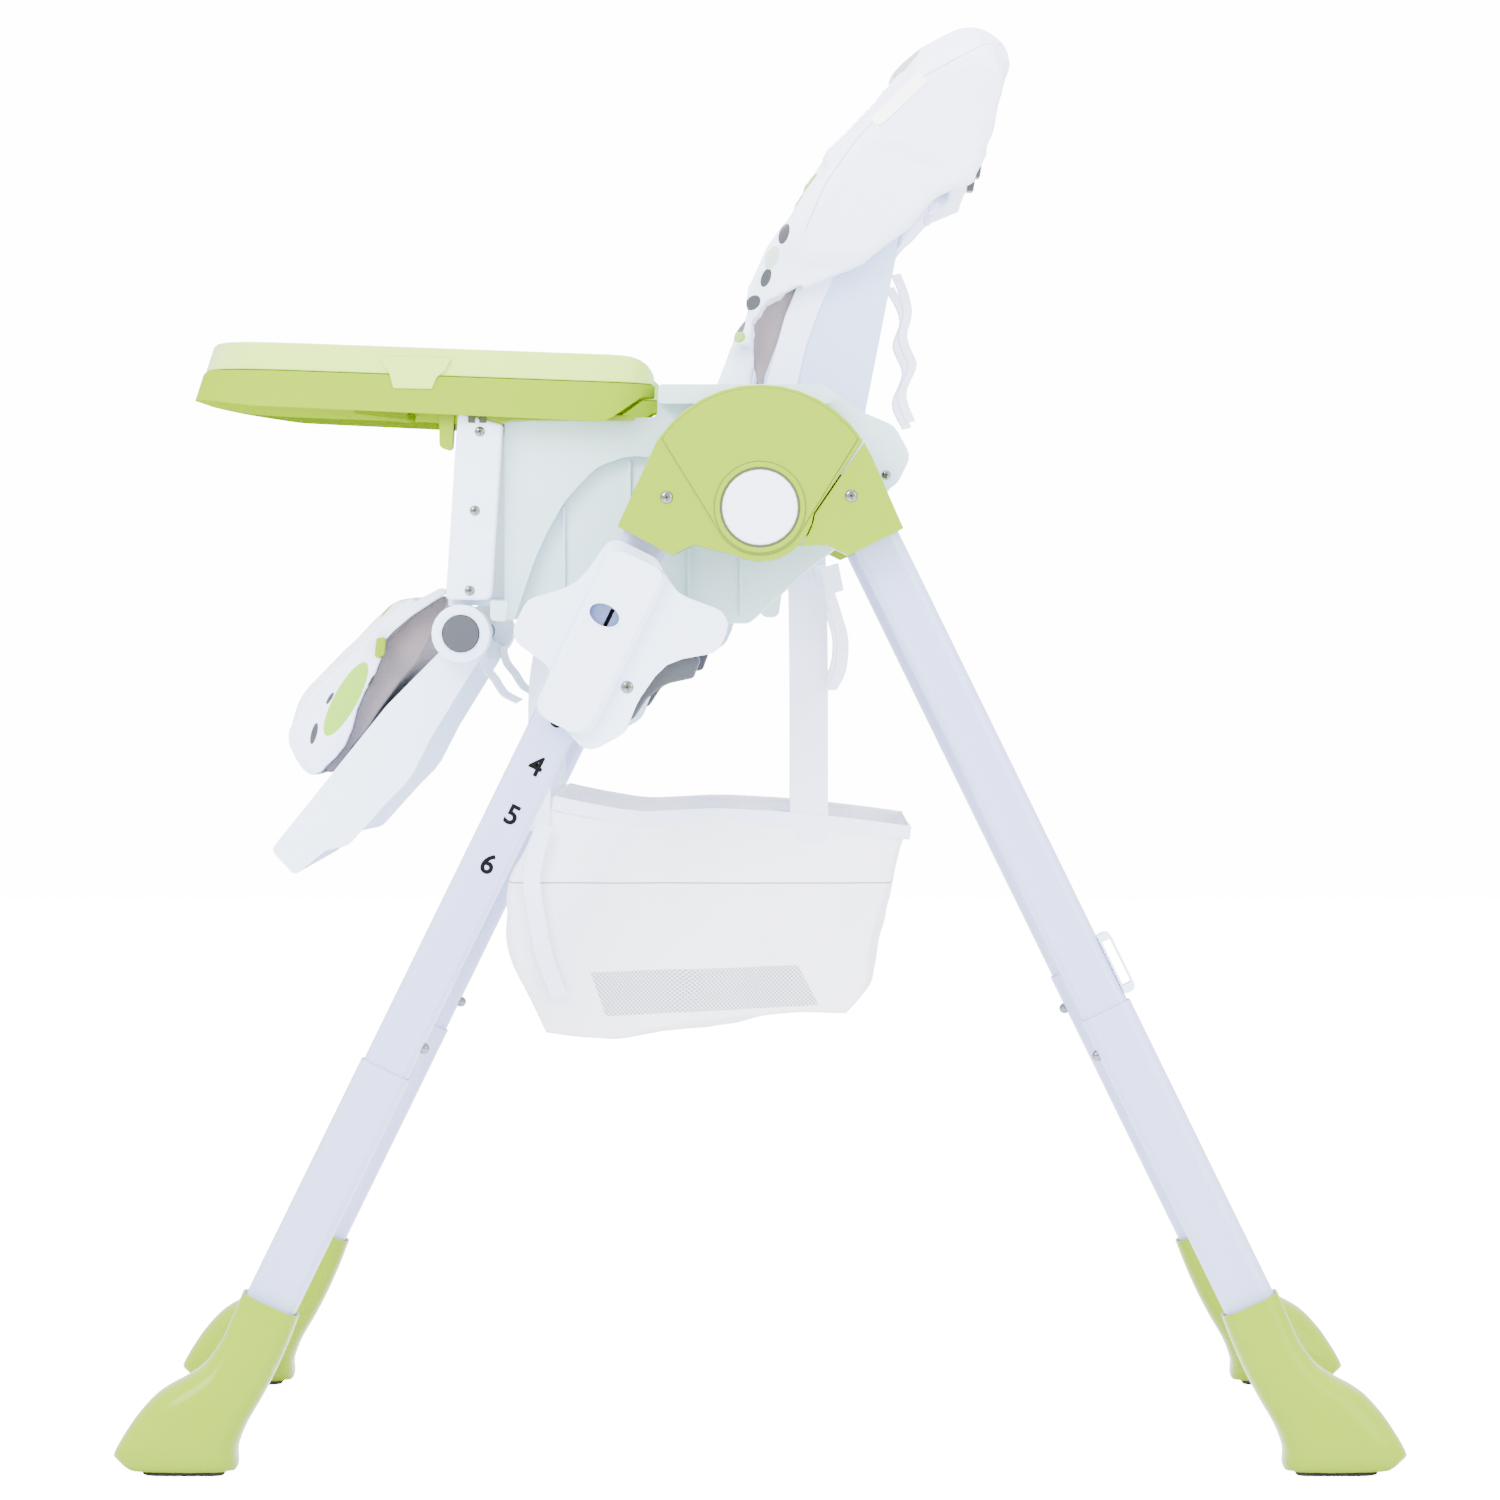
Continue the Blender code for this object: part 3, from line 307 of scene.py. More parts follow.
def mesh_cloth(name, count, window=()):
    """Knitted mesh: small holes let what is behind show faintly, and its window is darkened with
    painted shade of the basket's inside.
    """
    made = material(name, CLOTH_WHITE, 0.8)
    vector = object_coords(made)
    axes = split_axes(made, vector)
    run = calc(made, "ADD", axes[0], axes[1])
    waves = [calc(made, "SINE", calc(made, "MULTIPLY", value, count))
             for value in (run, axes[2])]
    hole = calc(made, "GREATER_THAN",
                     calc(made, "MULTIPLY", waves[0], waves[1]), 0.15)
    if window:
        hole = calc(made, "MULTIPLY", hole,
                         calc(made, "LESS_THAN", axes[2], BAND_BOTTOM))
    link(made, calc(made, "MULTIPLY_ADD", hole, -0.1, 0.97), shader_input(made, "Alpha"))
    add_bump(made, waves[0], 0.15, 0.0004)
    if window:
        # painted shade of the basket's inside, darker still in the holes
        dark = calc(made, "MULTIPLY", inside_shape(made, vector, window),
                         calc(made, "MULTIPLY_ADD", hole, 0.45, 0.3))
        colour = blend_colour(made, dark, CLOTH_WHITE, WINDOW_SHADE)
        seam = calc(made, "COMPARE", axes[2], BAND_BOTTOM, 0.0006)
        link(made, blend_colour(made, seam, colour, BAND_SEAM), shader_input(made, "Base Color"))
    return made


# ---- shapes

def rounded(corners, step=0.2):
    outline = []
    for index, (a, b, radius) in enumerate(corners):
        here = Vector((a, b))
        to_before = Vector(corners[index - 1][:2]) - here
        to_after = Vector(corners[(index + 1) % len(corners)][:2]) - here
        room = 0.49 * min(to_before.length, to_after.length)
        to_before.normalize()
        to_after.normalize()
        turn = math.pi - to_before.angle(to_after)
        if radius <= 0 or turn < 0.06:
            outline.append((a, b))
            continue
        reach = min(radius * math.tan(turn / 2), room)
        radius = reach / math.tan(turn / 2)
        centre = here + (to_before + to_after).normalized() * (radius / math.cos(turn / 2))
        start = here + to_before * reach - centre
        end = here + to_after * reach - centre
        sense = 1 if start.x * end.y - start.y * end.x > 0 else -1
        steps = max(1, math.ceil(turn / step))
        for number in range(steps + 1):
            angle = sense * turn * number / steps
            outline.append((
                centre.x + start.x * math.cos(angle) - start.y * math.sin(angle),
                centre.y + start.x * math.sin(angle) + start.y * math.cos(angle)))
    return outline


def arc(centre, radius, start, end, steps):
    return [(centre[0] + radius * math.cos(math.radians(start + (end - start) * n / steps)),
             centre[1] + radius * math.sin(math.radians(start + (end - start) * n / steps)))
            for n in range(steps + 1)]


def to_mesh(bm, name):
    bmesh.ops.recalc_face_normals(bm, faces=bm.faces)
    mesh = bpy.data.meshes.new(name)
    bm.to_mesh(mesh)
    bm.free()
    return mesh


def loft(rings, name="loft", hollow=False):
    """Skin over a row of rings: capped at both ends, or joined up as a hollow ring."""
    bm = bmesh.new()
    rows = [[bm.verts.new(point) for point in ring] for ring in rings]
    count = len(rows[0])
    for low, high in zip(rows, rows[1:] + rows[:1] if hollow else rows[1:]):
        for number in range(count):
            after = (number + 1) % count
            bm.faces.new((low[number], low[after], high[after], high[number]))
    if not hollow:
        bm.faces.new(list(reversed(rows[0])))
        bm.faces.new(rows[-1])
    return to_mesh(bm, name)


def prism(outline, low, high):
    return loft([[(x, y, z) for x, z in outline] for y in (low, high)])


def slab(outline, side, inner, outer):
    """Plate of a side-view outline between two distances from the mid plane."""
    return prism(outline, *sorted((side * inner, side * outer)))


def new_item(name, mesh):
    item = bpy.data.objects.new(name, mesh)
    bpy.context.collection.objects.link(item)
    return item


def applied(item, kind, **settings):
    """Adds a modifier ahead of the others and applies it at once."""
    bpy.context.view_layer.objects.active = item
    modifier = item.modifiers.new("now", kind)
    for key, value in settings.items():
        setattr(modifier, key, value)
    while item.modifiers[0].name != "now":
        bpy.ops.object.modifier_move_up(modifier="now")
    bpy.ops.object.modifier_apply(modifier="now")


def place(name, mesh, look, body, smooth=True, bevel=0.0, sharp=35):
    """Puts a mesh in the scene on a body, with its material."""
    item = new_item(name, mesh)
    mesh.materials.clear()
    mesh.materials.append(look)
    if smooth:
        mesh.shade_smooth()
        mesh.set_sharp_from_angle(angle=math.radians(sharp))
    if bevel:
        edge = item.modifiers.new("bevel", "BEVEL")
        edge.width = bevel
        edge.segments = 3
        edge.limit_method = "ANGLE"
        edge.angle_limit = math.radians(30)
        edge.harden_normals = True
    if body:
        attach(item, body)
    return item


def plates(name, outline, inner, outer, look, body, bevel=0.0, smooth=True):
    """The same slab on the left and on the right."""
    return [place(f"{name}_{side_name}", slab(outline, side, inner, outer), look, body,
                  smooth, bevel) for side_name, side in SIDES]


def clean_copy(node):
    """The CAD node's surface with its flat faces merged, as a new mesh."""
    bm = bmesh.new()
    bm.from_mesh(frame["nodes"][node].data)
    bmesh.ops.remove_doubles(bm, verts=bm.verts, dist=1e-5)
    bmesh.ops.dissolve_limit(bm, angle_limit=math.radians(1.2), verts=bm.verts,
                             edges=bm.edges)
    return to_mesh(bm, "mesh_" + node)


TRAY_FOOT = 0.7618
TRAY_TALL = 0.0471


def lean_front(mesh, insert):
    """The tray's front rim leans back as it rises; the insert's rear top is rounded off."""
    for vertex in mesh.vertices:
        co = vertex.co
        reach = min(max((-0.345 - co.x) / 0.055, 0.0), 1.0)
        rise = (co.z - TRAY_FOOT) / TRAY_TALL
        co.x += reach * (-0.0025 + 0.0135 * rise)
        past = min(max((co.x + 0.0966) / 0.02, 0.0), 1.0)
        if insert and co.z > 0.78:
            co.z -= 0.014 * (1 - math.sqrt(1 - past ** 2))


def refined(node, look=None, bevel=0.001):
    mesh = clean_copy(node)
    if node in ("tray_base", "tray_insert"):
        lean_front(mesh, node == "tray_insert")
    item = place("vis_" + node, mesh, look or MATERIALS[SLOT_OF[node]],
                 BODY_OF[node], bevel=bevel)
    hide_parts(node)
    return item


def cut_now(item, mesh):
    """Cuts a solid out of a piece for good, before its bevel."""
    tool = new_item("tool", mesh)
    applied(item, "BOOLEAN", object=tool, operation="DIFFERENCE", solver="EXACT")
    bpy.data.objects.remove(tool, do_unlink=True)


# ---- plain hard pieces

SOFT = ("seat_cushion", "basket", "backrest_cover", "back_pad", "calf_pad")
BEVELS = {
    "tray_insert": 0.0042, "tray_base": 0.003, "side_panel": 0.0022, "slider_housing": 0.003,
    "hub_cover": 0.0032, "rear_socket": 0.0022, "hub_backplate": 0.0012, "front_post": 0.0024,
    "footrest_board": 0.0026, "seat_shell": 0.0022, "backrest_shell": 0.003,
    "hub_button": 0.0022, "footrest_button": 0.0014, "tray_hook": 0.001,
    "slider_trigger": 0.0016, "tray_latch": 0.0012, "harness_buckle": 0.0025,
    "front_foot_pad": 0.0006, "rear_foot_pad": 0.0006, "front_upper_leg": 0.0003,
    "rear_upper_leg": 0.0003, "front_lower_leg": 0.0005, "rear_lower_leg": 0.0005,
}
LOOKS = {"tray_base": LIME_SATIN, "side_panel": SEAT_WHITE, "seat_shell": SEAT_WHITE,
         "hub_button": BUTTON_WHITE, "backrest_shell": SHADED_SHELL_WHITE}


def stem(node):
    return node.rsplit("_", 1)[0] if node.endswith(("_left", "_right")) else node


hard = {}
for node in frame["nodes"]:
    if node in SOFT or stem(node) in ("front_foot", "rear_foot"):
        continue
    hard[node] = refined(node, LOOKS.get(stem(node)), BEVELS.get(stem(node), 0.0008))


SHELL_TRIM = (
    (0.0985, 0.873), (0.1031, 0.8935), (0.1263, 0.904), (0.145, 0.917), (0.158, 0.935),
    (0.22, 0.935), (0.22, 0.85), (0.101, 0.85),
)
cut_now(hard["backrest_shell"], prism(SHELL_TRIM, -0.3, 0.3))
INSERT_TAB = (
    (-0.27, 0.79, 0), (-0.2682, 0.7843, 0.003), (-0.2641, 0.7783, 0.004),
    (-0.2613, 0.7678, 0.0015), (-0.2339, 0.7673, 0.0015), (-0.2304, 0.7755, 0.004),
    (-0.2243, 0.7804, 0.003), (-0.22, 0.789, 0),
)
POST_HEEL = ((-0.224, 0.613), (-0.184, 0.613), (-0.184, 0.6175), (-0.224, 0.6175))
PANEL_FOOT = ((-0.1925, 0.6165, 0.001), (-0.1925, 0.6025, 0.003), (-0.181, 0.6012, 0.003),
              (-0.1795, 0.6165, 0.001))
plates("insert_tab", rounded(INSERT_TAB), 0.2237, 0.2264, MATERIALS["pale_insert"],
       "tray_insert", 0.0006)
plates("post_heel", POST_HEEL, 0.18, 0.189, MATERIALS["white_plastic"], "seat")
plates("panel_foot", rounded(PANEL_FOOT), 0.215, 0.2222, SEAT_WHITE, "seat",
       0.0012)


# ---- feet

FOOT_STATIONS = (
    ((-0.3656, 0.1286), (-0.3265, 0.1105), 0.021),
    ((-0.3735, 0.1098), (-0.3345, 0.09), 0.023),
    ((-0.3808, 0.094), (-0.3435, 0.07), 0.0255),
    ((-0.3924, 0.078), (-0.3535, 0.051), 0.0285),
    ((-0.4039, 0.0693), (-0.3634, 0.034), 0.031),
    ((-0.4241, 0.0578), (-0.3695, 0.018), 0.0335),
    ((-0.4386, 0.0433), (-0.3728, 0.0), 0.0345),
    ((-0.4487, 0.0289), (-0.4068, -0.002), 0.033),
    ((-0.4545, 0.019), (-0.4386, 0.001), 0.027),
    ((-0.4566, 0.0144), (-0.45, 0.008), 0.019),
)
SOLE = 0.0034
LEG_SIDE = 0.25
FOOT_SQUARENESS = 0.62


def spline(values, t):
    """Smooth curve through equally spaced values."""
    index = min(int(t), len(values) - 2)
    f = t - index
    p = [values[min(max(index + k, 0), len(values) - 1)] for k in (-1, 0, 1, 2)]
    return 0.5 * (2 * p[1] + (p[2] - p[0]) * f + (2 * p[0] - 5 * p[1] + 4 * p[2] - p[3]) * f ** 2
                  + (3 * p[1] - p[0] - 3 * p[2] + p[3]) * f ** 3)


def spline_point(path, t):
    return Vector([spline(axis, t) for axis in zip(*path)])


def foot_ring(t, side, flip, grow=1.0, count=48):
    columns = list(zip(*[(top[0], top[1], heel[0], heel[1], half)
                         for top, heel, half in FOOT_STATIONS]))
    top_x, top_z, heel_x, heel_z, half = (spline(column, t) for column in columns)
    ring = []
    for number in range(count):
        angle = 2 * math.pi * (number + 0.5) / count
        u = grow * math.copysign(abs(math.cos(angle)) ** FOOT_SQUARENESS, math.cos(angle))
        v = grow * math.copysign(abs(math.sin(angle)) ** FOOT_SQUARENESS, math.sin(angle))
        ring.append((flip * ((top_x + heel_x) / 2 + u * (top_x - heel_x) / 2),
                     side * LEG_SIDE + v * half,
                     max((top_z + heel_z) / 2 + u * (top_z - heel_z) / 2, SOLE)))
    return ring


def make_foot(name, side, flip, body):
    """Foot with a lipped mouth, lofted finely from heel to toe."""
    inner = [foot_ring(t, side, flip, grow) for t, grow in ((0.5, 0.84), (0.1, 0.88), (0.0, 0.93))]
    lip = [foot_ring(0.0, side, flip, grow) for grow in (0.975, 1.0)]
    body_rings = [foot_ring(t / 5, side, flip) for t in range(1, 46)]
    mesh = loft(inner + lip + body_rings, name)
    foot = place("vis_" + name, mesh, MATERIALS["lime_plastic"], body, sharp=50)
    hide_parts(name)


for side_name, side in SIDES:
    make_foot("front_foot_" + side_name, side, 1, "front_frame")
    make_foot("rear_foot_" + side_name, side, -1, "rear_frame")


# ---- hub details

def lathe_y(profile, centre, side, count=64):
    """Turned shape about an axis along Y: profile is (radius, distance from mid plane)."""
    rings = []
    for radius, y in profile:
        rings.append([(centre[0] + radius * math.cos(2 * math.pi * n / count), side * y,
                       centre[1] + radius * math.sin(2 * math.pi * n / count))
                      for n in range(count)])
    return loft(rings, "turned")


def screw(name, x, z, y, side, radius, body):
    """Chrome pan-head screw; its cross recess is a dark cross of painted shade on the head."""
    head = lathe_y([(radius, y - 0.001), (radius, y + 0.0004), (radius * 0.93, y + 0.0011),
                    (radius * 0.75, y + 0.0017), (radius * 0.4, y + 0.0021), (0.0003, y + 0.0022)],
                   (x, z), side, 32)
    place(name, head, MATERIALS["steel_pin"], body)
    # the cross recess is not cut: two dark bars on the head paint its shade
    for index, turn in enumerate((0.3, 0.3 + math.pi / 2)):
        cos, sin = math.cos(turn), math.sin(turn)
        long, thin = radius * 0.62, radius * 0.13
        outline = [(x + a * cos - b * sin, z + a * sin + b * cos)
                   for a, b in ((-long, -thin), (long, -thin), (long, thin), (-long, thin))]
        place(f"{name}_slot{index}", slab(outline, side, y + 0.0015, y + 0.0024), PAINTED_GAP_SHADE,
              body, smooth=False)


RING = 0.033
CREST_RADIUS = 0.0835
CREST_CORNER = (0.0694, 0.0433)
HUB_FACE = 0.288
POST_SCREWS = ((-0.2002, 0.7372), (-0.2038, 0.6808), (-0.2074, 0.6237))
HUB_RINGS = (
    # darker band just outside the raised ring: painted shadow at its foot
    ("hub_ring_foot_shadow_", PAINTED_LIME_SHADE,
     ((0.03, 0.29), (0.03, 0.2914), (0.0325, 0.2914), (0.0325, 0.29))),
    ("hub_ring_", MATERIALS["lime_plastic"],
     ((0.0283, 0.29), (0.0283, 0.292), (0.0289, 0.2926), (0.0309, 0.2926),
      (0.0318, 0.2918), (0.032, 0.29))),
    # dark ring in the hollow inside the raised ring: painted shade of the gap
    ("hub_gap_shade_", PAINTED_GAP_SHADE,
     ((0.0281, HUB_FACE), (0.0281, 0.2916), (0.0268, 0.2916), (0.0268, HUB_FACE))),
)
tangent = math.degrees(math.acos(RING / math.hypot(*CREST_CORNER)))
left_touch = math.degrees(math.atan2(CREST_CORNER[1], -CREST_CORNER[0])) + tangent
CREST = (arc(HUB, CREST_RADIUS, 35, 145, 40)
         + arc(HUB, RING, left_touch, 180 - left_touch + 360, 30))
for side_name, side in SIDES:
    place("hub_crest_" + side_name, slab(CREST, side, HUB_FACE, 0.2912),
          MATERIALS["lime_plastic"], "front_frame", bevel=0.0009)
    # a slightly larger dark copy behind the crest, showing round its edge as painted shadow at the
    # foot of its step
    mesh = slab(CREST, side, HUB_FACE, 0.2903)
    mesh.transform(Matrix.Translation((0, 0, HUB[1])) @ Matrix.Diagonal((1.007, 1, 1.007, 1))
                   @ Matrix.Translation((0, 0, -HUB[1] - 0.0005)))
    place("hub_crease_shadow_" + side_name, mesh, PAINTED_LIME_SHADE, "front_frame")
    for name, look, profile in HUB_RINGS:
        place(name + side_name, lathe_y(profile, HUB, side), look, "front_frame")
    screw("hub_screw_front_" + side_name, -0.0655, 0.689, 0.2896, side, 0.0045, "front_frame")
    screw("hub_screw_rear_" + side_name, 0.064, 0.69, HUB_FACE, side, 0.0045, "rear_frame")
    for number, (x, z) in enumerate(POST_SCREWS):
        screw(f"post_screw_{number}_{side_name}", x, z, 0.2146, side, 0.0037, "seat")
    screw("panel_screw_" + side_name, 0.09, 0.7065, 0.1996, side, 0.0034, "seat")
    x, z = leg_point(0.1546, -0.0304)
    screw("slider_screw_" + side_name, x, z, 0.2741, side, 0.0045, "seat")


# ---- leg details

NUMBERS = (0.118, 0.1578, 0.1963, 0.2338, 0.2723, 0.3108)
WINDOW = (0.116, 0.0062)
WINDOW_HALVES = (0.0112, 0.0076)
NUMBER_SIZE = 0.0198
NUMBER_SIDE = 0.26125


def number_mark(text, along, side, side_name):
    curve = bpy.data.curves.new("digit", "FONT")
    curve.body = text
    curve.size = NUMBER_SIZE
    curve.align_x = "CENTER"
    curve.align_y = "CENTER"
    curve.offset = 0.00048
    curve.extrude = 0.00005
    item = new_item("digit", curve)
    x, z = leg_point(along, 0.003)
    lean = Matrix.Rotation(LEG_ANGLE, 4, "Y")
    item.rotation_euler = (lean @ Matrix.Rotation(0 if side < 0 else math.pi, 4, "Z")
                           @ Matrix.Rotation(math.radians(90), 4, "X")).to_euler()
    item.location = (x, side * NUMBER_SIDE, z)
    bpy.context.view_layer.update()
    mesh = bpy.data.meshes.new_from_object(item.evaluated_get(
        bpy.context.evaluated_depsgraph_get()))
    mesh.transform(item.matrix_world)
    bpy.data.objects.remove(item, do_unlink=True)
    place(f"number_{text}_{side_name}", mesh, NUMBER_INK, "front_frame",
          smooth=False)


def leg_pin(name, along, edge, rear, side, body):
    """Spring button that stands out of the inner edge of a leg."""
    bm = bmesh.new()
    bmesh.ops.create_uvsphere(bm, u_segments=24, v_segments=12, radius=0.0042)
    mesh = to_mesh(bm, name)
    x, z = leg_point(along, edge - 0.0008, rear)
    mesh.transform(Matrix.Translation((x, side * LEG_SIDE, z)))
    place(name, mesh, MATERIALS["steel_pin"], body, sharp=80)


for side_name, side in SIDES:
    for number, along in enumerate(NUMBERS):
        number_mark(str(number + 1), along, side, side_name)
    leg_pin("front_pin_" + side_name, 0.4481, -0.0124, False, side, "front_frame")
    leg_pin("rear_pin_" + side_name, 0.453, -0.0141, True, side, "rear_frame")
    centre = Vector(leg_point(*WINDOW))
    oval = [[centre + OUT_OF_LEG * (WINDOW_HALVES[0] + grow) * math.cos(n * math.pi / 24)
             + DOWN_LEG * (WINDOW_HALVES[1] + grow) * math.sin(n * math.pi / 24) for n in range(48)]
            for grow in (0.0, 0.0013)]
    cut_now(hard["slider_housing_" + side_name],
            slab([tuple(p) for p in oval[0]], side, 0.26, 0.29))
    rings = [[(p.x, side * y, p.y) for p in oval[index]]
             for index, y in ((0, 0.2835), (0, 0.286), (1, 0.286), (1, 0.2845))]
    place("slider_window_" + side_name, loft(rings, "window", hollow=True),
          BUTTON_WHITE, "seat")


# ---- seat details

RIBS = ((-0.141, 0.684), (-0.094, 0.717), (-0.0514, 0.714), (-0.014, 0.711))
RIB_FOOT = 0.606
SEAT_BOSS = ((0.0, 0.62, 0.001), (0.0, 0.6045, 0.005), (0.013, 0.6045, 0.005),
             (0.016, 0.626, 0.001))
for number, (x, top) in enumerate(RIBS):
    outline = [(x - 0.0012, RIB_FOOT), (x + 0.0012, RIB_FOOT), (x + 0.0012, top),
               (x - 0.0012, top)]
    plates(f"shell_rib_{number}", outline, 0.1894, 0.1925, SEAT_WHITE, "seat",
           0.0006)
plates("seat_boss", rounded(SEAT_BOSS), 0.17, 0.1885, SEAT_WHITE, "seat",
       0.0008)
# the rail's notches are dark plates of painted shade
for number, x in enumerate((-0.2085, -0.2005)):
    notch = [(x, 0.7435), (x + 0.005, 0.7433), (x + 0.005, 0.7515), (x, 0.7517)]
    plates(f"rail_notch_{number}", notch, 0.215, 0.2162, PAINTED_GAP_SHADE, "seat",
           smooth=False)


# ---- padded pieces

SIM_FRAMES = 14
CLOTH_SETTINGS = {"quality": 5, "mass": 0.25, "tension_stiffness": 18,
                  "compression_stiffness": 12, "bending_stiffness": 0.35, "use_pressure": True,
                  "shrink_min": -0.035, "vertex_group_mass": "pin"}


def soft_base(node, voxel, relax):
    """The CAD solid of a soft piece as an even skin, its edges eased."""
    item = new_item("soft_" + node, clean_copy(node))
    applied(item, "REMESH", mode="VOXEL", voxel_size=voxel)
    applied(item, "SMOOTH", factor=0.5, iterations=relax)
    return item


def inflate(item, pressure, cap, seam):
    """Puffs a skin up with the cloth solver; seam() says how firmly each point is held."""
    rest = [v.co.copy() for v in item.data.vertices]
    group = item.vertex_groups.new(name="pin")
    for index, co in enumerate(rest):
        weight = seam(co)
        if weight > 0:
            group.add([index], weight, "REPLACE")
    cloth = item.modifiers.new("cloth", "CLOTH")
    settings = cloth.settings
    for key, value in CLOTH_SETTINGS.items():
        setattr(settings, key, value)
    settings.uniform_pressure_force = pressure
    settings.effector_weights.gravity = 0.0
    cloth.collision_settings.use_collision = False
    cloth.point_cache.frame_start = 1
    cloth.point_cache.frame_end = SIM_FRAMES
    scene = bpy.context.scene
    for frame_number in range(1, SIM_FRAMES + 1):
        scene.frame_set(frame_number)
    depsgraph = bpy.context.evaluated_depsgraph_get()
    moved = [v.co.copy() for v in item.evaluated_get(depsgraph).data.vertices]
    item.modifiers.remove(cloth)
    scene.frame_set(1)
    for vertex, start, end in zip(item.data.vertices, rest, moved):
        shift = end - start
        if shift.length > cap:
            shift *= cap / shift.length
        vertex.co = start + shift
    item.vertex_groups.clear()
    return item


def finish_soft(item, look, body, node, name):
    item.name = name
    item.data.materials.clear()
    item.data.materials.append(look)
    applied(item, "SUBSURF", levels=1, render_levels=1)
    item.data.shade_smooth()
    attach(item, body)
    if node:
        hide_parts(node)
    return item


def near(value, target, reach):
    return max(0.0, 1 - abs(value - target) / reach)


def wrinkle(item, amount, scale, keep=lambda co: 1.0, stretch=(1, 1, 1)):
    """Small creases pressed in along the surface's normals."""
    for vertex in item.data.vertices:
        co = vertex.co
        place_in = Vector((co.x * stretch[0], co.y * stretch[1], co.z * stretch[2])) * scale
        crease = noise.noise(place_in)
        crease = (1 - abs(crease) * 2.2) * 0.6 + noise.noise(place_in * 2.3) * 0.4
        vertex.co = co + vertex.normal * (amount * crease * keep(co))


def cushion_seam(co):
    return max(near(co.x, -0.1, 0.006), near(abs(co.y), 0.085, 0.006),
               near(abs(co.y), 0.158, 0.006))


cushion = inflate(soft_base("seat_cushion", 0.005, 4), 4.0, 0.009, cushion_seam)
CUSHION_PRINT = printed_fabric("cushion_print", 24.0, (1, 0.72, 1), False)
finish_soft(cushion, CUSHION_PRINT, "seat", "seat_cushion", "seat_cushion_soft")


def pad_seam(co):
    down = (co.z - 0.69) / 0.29
    return max(near(down, 0.33, 0.02), near(down, 0.66, 0.02), near(abs(co.y), 0.06, 0.005),
               near(abs(co.y), 0.148, 0.005))


pad = inflate(soft_base("back_pad", 0.005, 3), 4.0, 0.008, pad_seam)
finish_soft(pad, CUSHION_PRINT, "backrest", "back_pad", "back_pad_soft")


def calf_seam(co):
    return max(near(abs(co.y), 0.158, 0.005), near(co.y, 0.0, 0.004))


calf = inflate(soft_base("calf_pad", 0.0042, 3), 4.0, 0.006, calf_seam)
wrinkle(calf, 0.0009, 34.0)
CALF_SPOTS = (
    (-0.2995, 0.5455, 0.0085, 0.03, -0.5, (0.23, 0.48, 0.01)),
    (-0.2855, 0.529, 0.0066, 0.02, -0.48, (0.4, 0.45, 0.56)),
    (-0.282, 0.5545, 0.002, 0.0085, -0.35, PRINT_GREY),
    (-0.272, 0.581, 0.004, 0.0075, -0.85, PRINT_GREY),
    (-0.248, 0.603, 0.0018, 0.006, -0.95, PRINT_GREY),
    (-0.3225, 0.5205, 0.0022, 0.008, -0.25, PRINT_GREY),
    (-0.311, 0.546, 0.0014, 0.005, -0.55, PRINT_GREY),
)
LINING_EDGE = (
    (-0.212, 0.629), (-0.2255, 0.6227), (-0.237, 0.6157), (-0.2528, 0.6051), (-0.2652, 0.5945),
    (-0.2716, 0.5875), (-0.2751, 0.5735), (-0.2786, 0.5645), (-0.2866, 0.5503), (-0.2919, 0.538),
    (-0.2954, 0.524), (-0.3007, 0.5115), (-0.3078, 0.5027), (-0.315, 0.4963), (-0.32, 0.492),
)


def line_distance(co, path):
    """Signed distance in the side view from a line: positive on its lower right."""
    here = Vector((co.x, co.z))
    best = None
    for a, b in zip(path, path[1:]):
        a, b = Vector(a), Vector(b)
        run = b - a
        t = min(max((here - a).dot(run) / run.length_squared, 0.0), 1.0)
        gap = here - (a + run * t)
        away = gap.length * (1 if run.x * gap.y - run.y * gap.x > 0 else -1)
        if best is None or abs(away) < abs(best):
            best = away
    return best


def store(item, name, measure):
    """Keeps a distance in millimetres at every point, for the material to read."""
    values = item.data.attributes.new(name, "FLOAT", "POINT")
    for vertex in item.data.vertices:
        values.data[vertex.index].value = measure(vertex.co) * 1000.0


CALF_PRINT = printed_fabric("calf_print", 17.0, (1, 0.6, 0.6), True, CALF_SPOTS, lined=True)
finish_soft(calf, CALF_PRINT, "footrest", "calf_pad", "calf_pad_soft")
store(calf, "lined", lambda co: line_distance(co, LINING_EDGE))
FLAP_EDGE = (
    (-0.23, 0.6265), (-0.2459, 0.618), (-0.2672, 0.602), (-0.2903, 0.5792), (-0.3028, 0.5635),
    (-0.317, 0.549), (-0.3276, 0.5366), (-0.3343, 0.5265), (-0.3368, 0.5145), (-0.3325, 0.5062),
    (-0.3254, 0.4958), (-0.32, 0.49),
)
BACK_EDGE = (
    (-0.229, 0.6114), (-0.2397, 0.5882), (-0.2486, 0.5722), (-0.2629, 0.5561), (-0.2771, 0.5365),
    (-0.2861, 0.5222), (-0.2967, 0.5098), (-0.3039, 0.499), (-0.3118, 0.4903),
)
CALF_SIDE = printed_fabric("calf_side", 17.0, (1, 0.6, 0.6), True, CALF_SPOTS)
lined_back = [(x, z, 0.004) for x, z in LINING_EDGE[1:-1] + BACK_EDGE[::-1]]
calf_back = place("calf_back", prism(rounded(lined_back, 0.6), -0.15, 0.15), LINING,
                  "footrest", bevel=0.003)
CALF_TAB = ((-0.277, 0.5895, 0.002), (-0.27, 0.5905, 0.002), (-0.2712, 0.577, 0.003),
            (-0.2785, 0.5745, 0.002))
